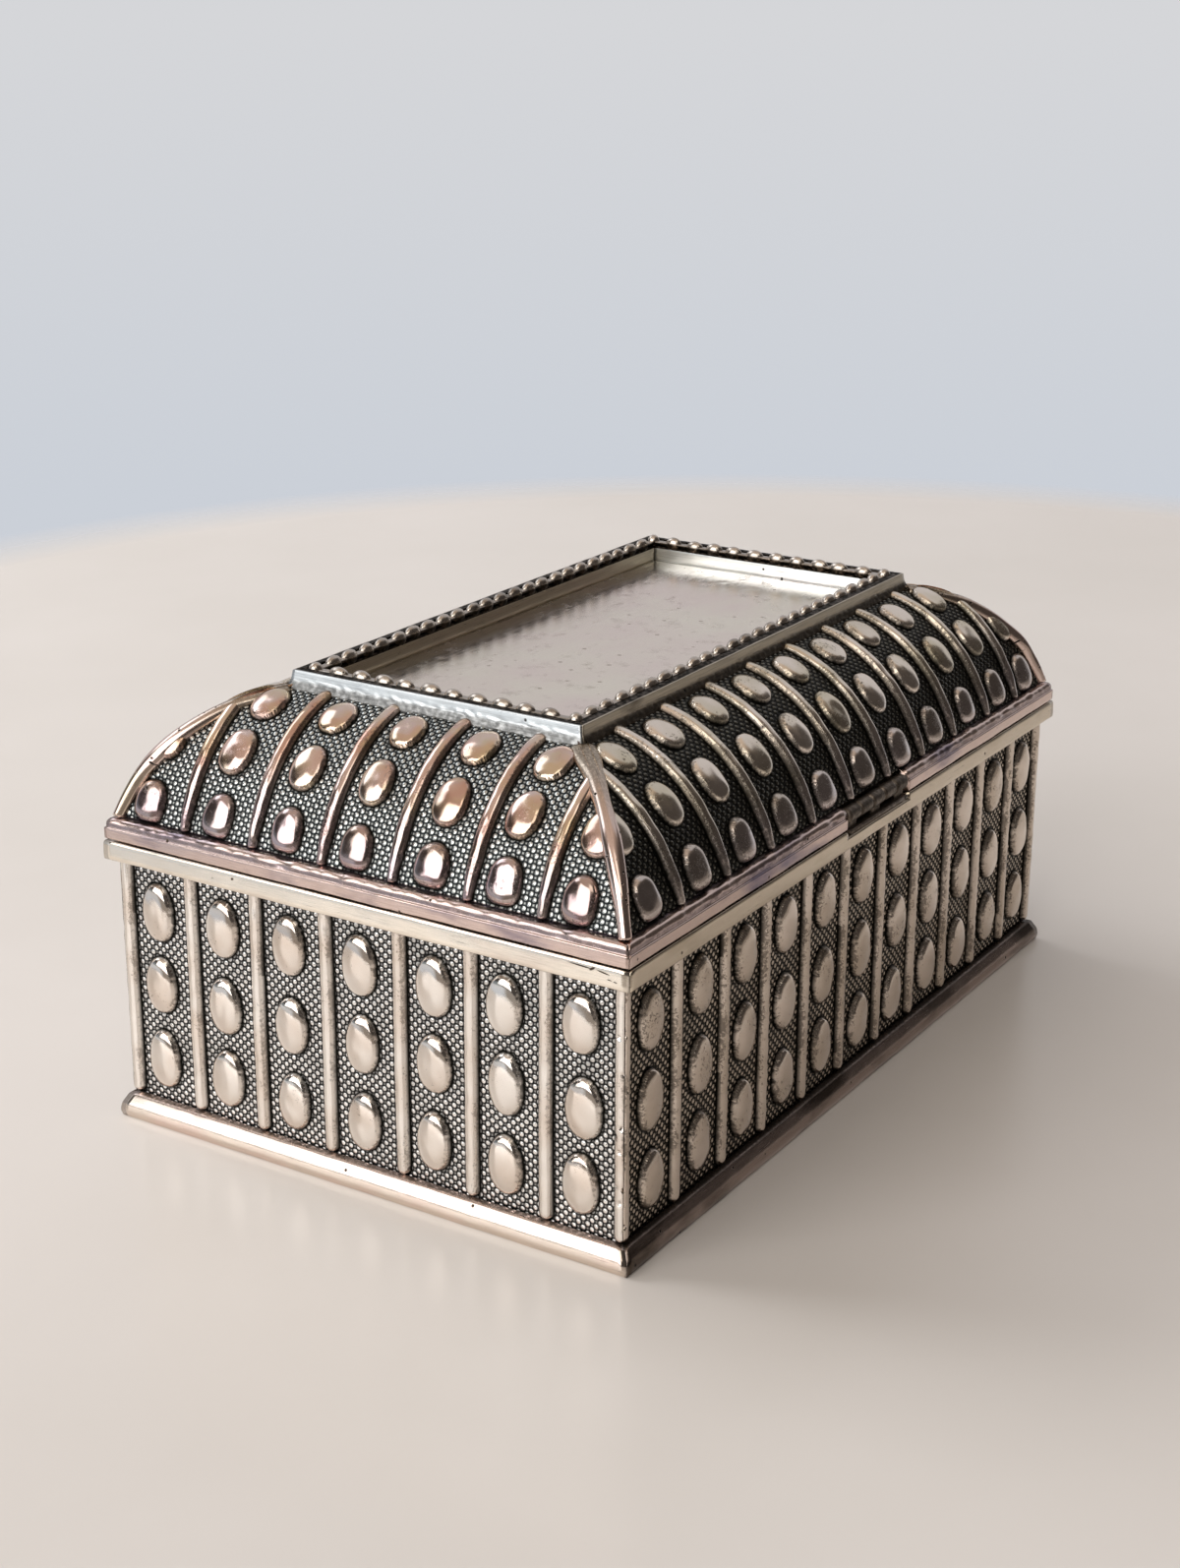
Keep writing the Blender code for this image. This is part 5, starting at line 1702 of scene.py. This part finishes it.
class TRINKET_OT_bead_border(bpy.types.Operator):
    """Border of separate oval beads in the frame's groove, in four lengths"""

    bl_idname = "trinket.bead_border"
    bl_label = "Bead border"

    def execute(self, context):
        sizes = context.scene.trinket_mouldings
        tones = tones_of(context)
        made = silver_plate(
            "worn_silver_bead", linear("#cdc3b8"), tones["smoke"], tones["black"],
            warm_share=0.1, rough=0.26, pits=0.02,
        )

        def build(side, index):
            return bead_border(side, sizes, SEEDS["bead_border"] + index)

        finished_sides("bead_strip_{}_beads", build, (made, made), "lid", "bead_strip_{}")
        return {"FINISHED"}


class TRINKET_OT_top_plate(bpy.types.Operator):
    """Plain plate set down in the frame, slightly dished, pitted and toned"""

    bl_idname = "trinket.top_plate"
    bl_label = "Top plate"

    def execute(self, context):
        made = spotted_plate(tones_of(context))
        finished("top_plate_sheet", plate_mesh(), made, "lid", "top_plate")
        return {"FINISHED"}


class TRINKET_OT_lid_lining(bpy.types.Operator):
    """Velvet pad inside the lid, and the card board behind it"""

    bl_idname = "trinket.lid_lining"
    bl_label = "Lid lining"

    def execute(self, context):
        mesh = pad_mesh("lid_pad", -1, context.scene.trinket_lining)
        made = velvet("cotton_velvet_lid", "#161b38")
        pad = finished("lid_velvet_pad", mesh, made, "lid", "lid_pad")
        dressed("lid_board", pulp_board("grey_pulp_board", "#8f877b"))
        return {"FINISHED"}


class TRINKET_OT_hinge(bpy.types.Operator):
    """Hinge with five knuckles on a steel pin: a leaf sunk in the body's rim, one upright on the lid's"""

    bl_idname = "trinket.hinge"
    bl_label = "Hinge"

    def execute(self, context):
        made = silver_plate(
            "soldered_silver_hinge", linear("#94897e"), linear("#7c7166"), tones_of(context)["black"],
            warm_share=0.5, rough=0.34, pits=0.3, brush=12.0,
        )
        half_web, bite = 0.00045, 0.0003
        low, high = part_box("body_hinge_leaf")
        mesh = hinge_half(
            0, low, (high.x, high.y, RIM_TOP),
            (HINGE_Y - half_web, RIM_TOP - bite), (HINGE_Y + half_web, HINGE_Z),
        )
        finished("body_hinge_half", mesh, made, "body", "body_hinge_leaf")
        low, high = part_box("lid_hinge_leaf")
        face = HINGE_Y - KNUCKLE_RADIUS - KNUCKLE_GAP
        mesh = hinge_half(
            1, low, (high.x, face, high.z),
            (face - bite, HINGE_Z - half_web), (HINGE_Y, HINGE_Z + half_web),
        )
        finished("lid_hinge_half", mesh, made, "lid", "lid_hinge_leaf")
        grey = linear("#8d8983")
        wire = marked_metal(
            "drawn_steel_wire", grey, shaded(grey, 0.5),
            mark_width=0.0003, mark_length_share=12.0, start=0.4, stop=0.7, rough=0.35,
        )
        finished("hinge_pin_wire", pin_mesh(), wire, "body", "hinge_pin")
        return {"FINISHED"}


class TRINKET_PT_pieces(bpy.types.Panel):
    """Lists the pieces of the box and their sizes"""

    bl_idname = "TRINKET_PT_pieces"
    bl_label = "Trinket box"
    bl_space_type = "VIEW_3D"
    bl_region_type = "UI"
    bl_category = "Trinket box"

    def draw(self, context):
        for group in PROPERTY_GROUPS:
            box = self.layout.box()
            held = getattr(context.scene, group)
            for key in type(held).__annotations__:
                box.prop(held, key)
        for operator in OPERATORS:
            self.layout.operator(operator.bl_idname)


OPERATORS = (
    TRINKET_OT_stage,
    TRINKET_OT_walls,
    TRINKET_OT_plinth,
    TRINKET_OT_body_rims,
    TRINKET_OT_lining,
    TRINKET_OT_base,
    TRINKET_OT_lid_panels,
    TRINKET_OT_hip_ribs,
    TRINKET_OT_lid_rims,
    TRINKET_OT_top_frame,
    TRINKET_OT_bead_border,
    TRINKET_OT_top_plate,
    TRINKET_OT_lid_lining,
    TRINKET_OT_hinge,
)
PROPERTY_GROUPS = {
    "trinket_relief": ReliefSizes,
    "trinket_mouldings": MouldingSizes,
    "trinket_lining": LiningSizes,
    "trinket_tones": SilverTones,
}


def register():
    """Registers the property groups, the operators and the panel."""
    for key, group in PROPERTY_GROUPS.items():
        bpy.utils.register_class(group)
        setattr(bpy.types.Scene, key, PointerProperty(type=group))
    for operator in OPERATORS:
        bpy.utils.register_class(operator)
    bpy.utils.register_class(TRINKET_PT_pieces)


def unregister():
    """Takes everything out again, last first."""
    bpy.utils.unregister_class(TRINKET_PT_pieces)
    for operator in reversed(OPERATORS):
        bpy.utils.unregister_class(operator)
    for key, group in reversed(PROPERTY_GROUPS.items()):
        delattr(bpy.types.Scene, key)
        bpy.utils.unregister_class(group)


def main():
    register()
    bpy.ops.trinket.stage()
    bpy.ops.trinket.walls()
    bpy.ops.trinket.plinth()
    bpy.ops.trinket.body_rims()
    bpy.ops.trinket.lining()
    bpy.ops.trinket.base()
    bpy.ops.trinket.lid_panels()
    bpy.ops.trinket.hip_ribs()
    bpy.ops.trinket.lid_rims()
    bpy.ops.trinket.top_frame()
    bpy.ops.trinket.bead_border()
    bpy.ops.trinket.top_plate()
    bpy.ops.trinket.lid_lining()
    bpy.ops.trinket.hinge()


if __name__ == "__main__":
    main()
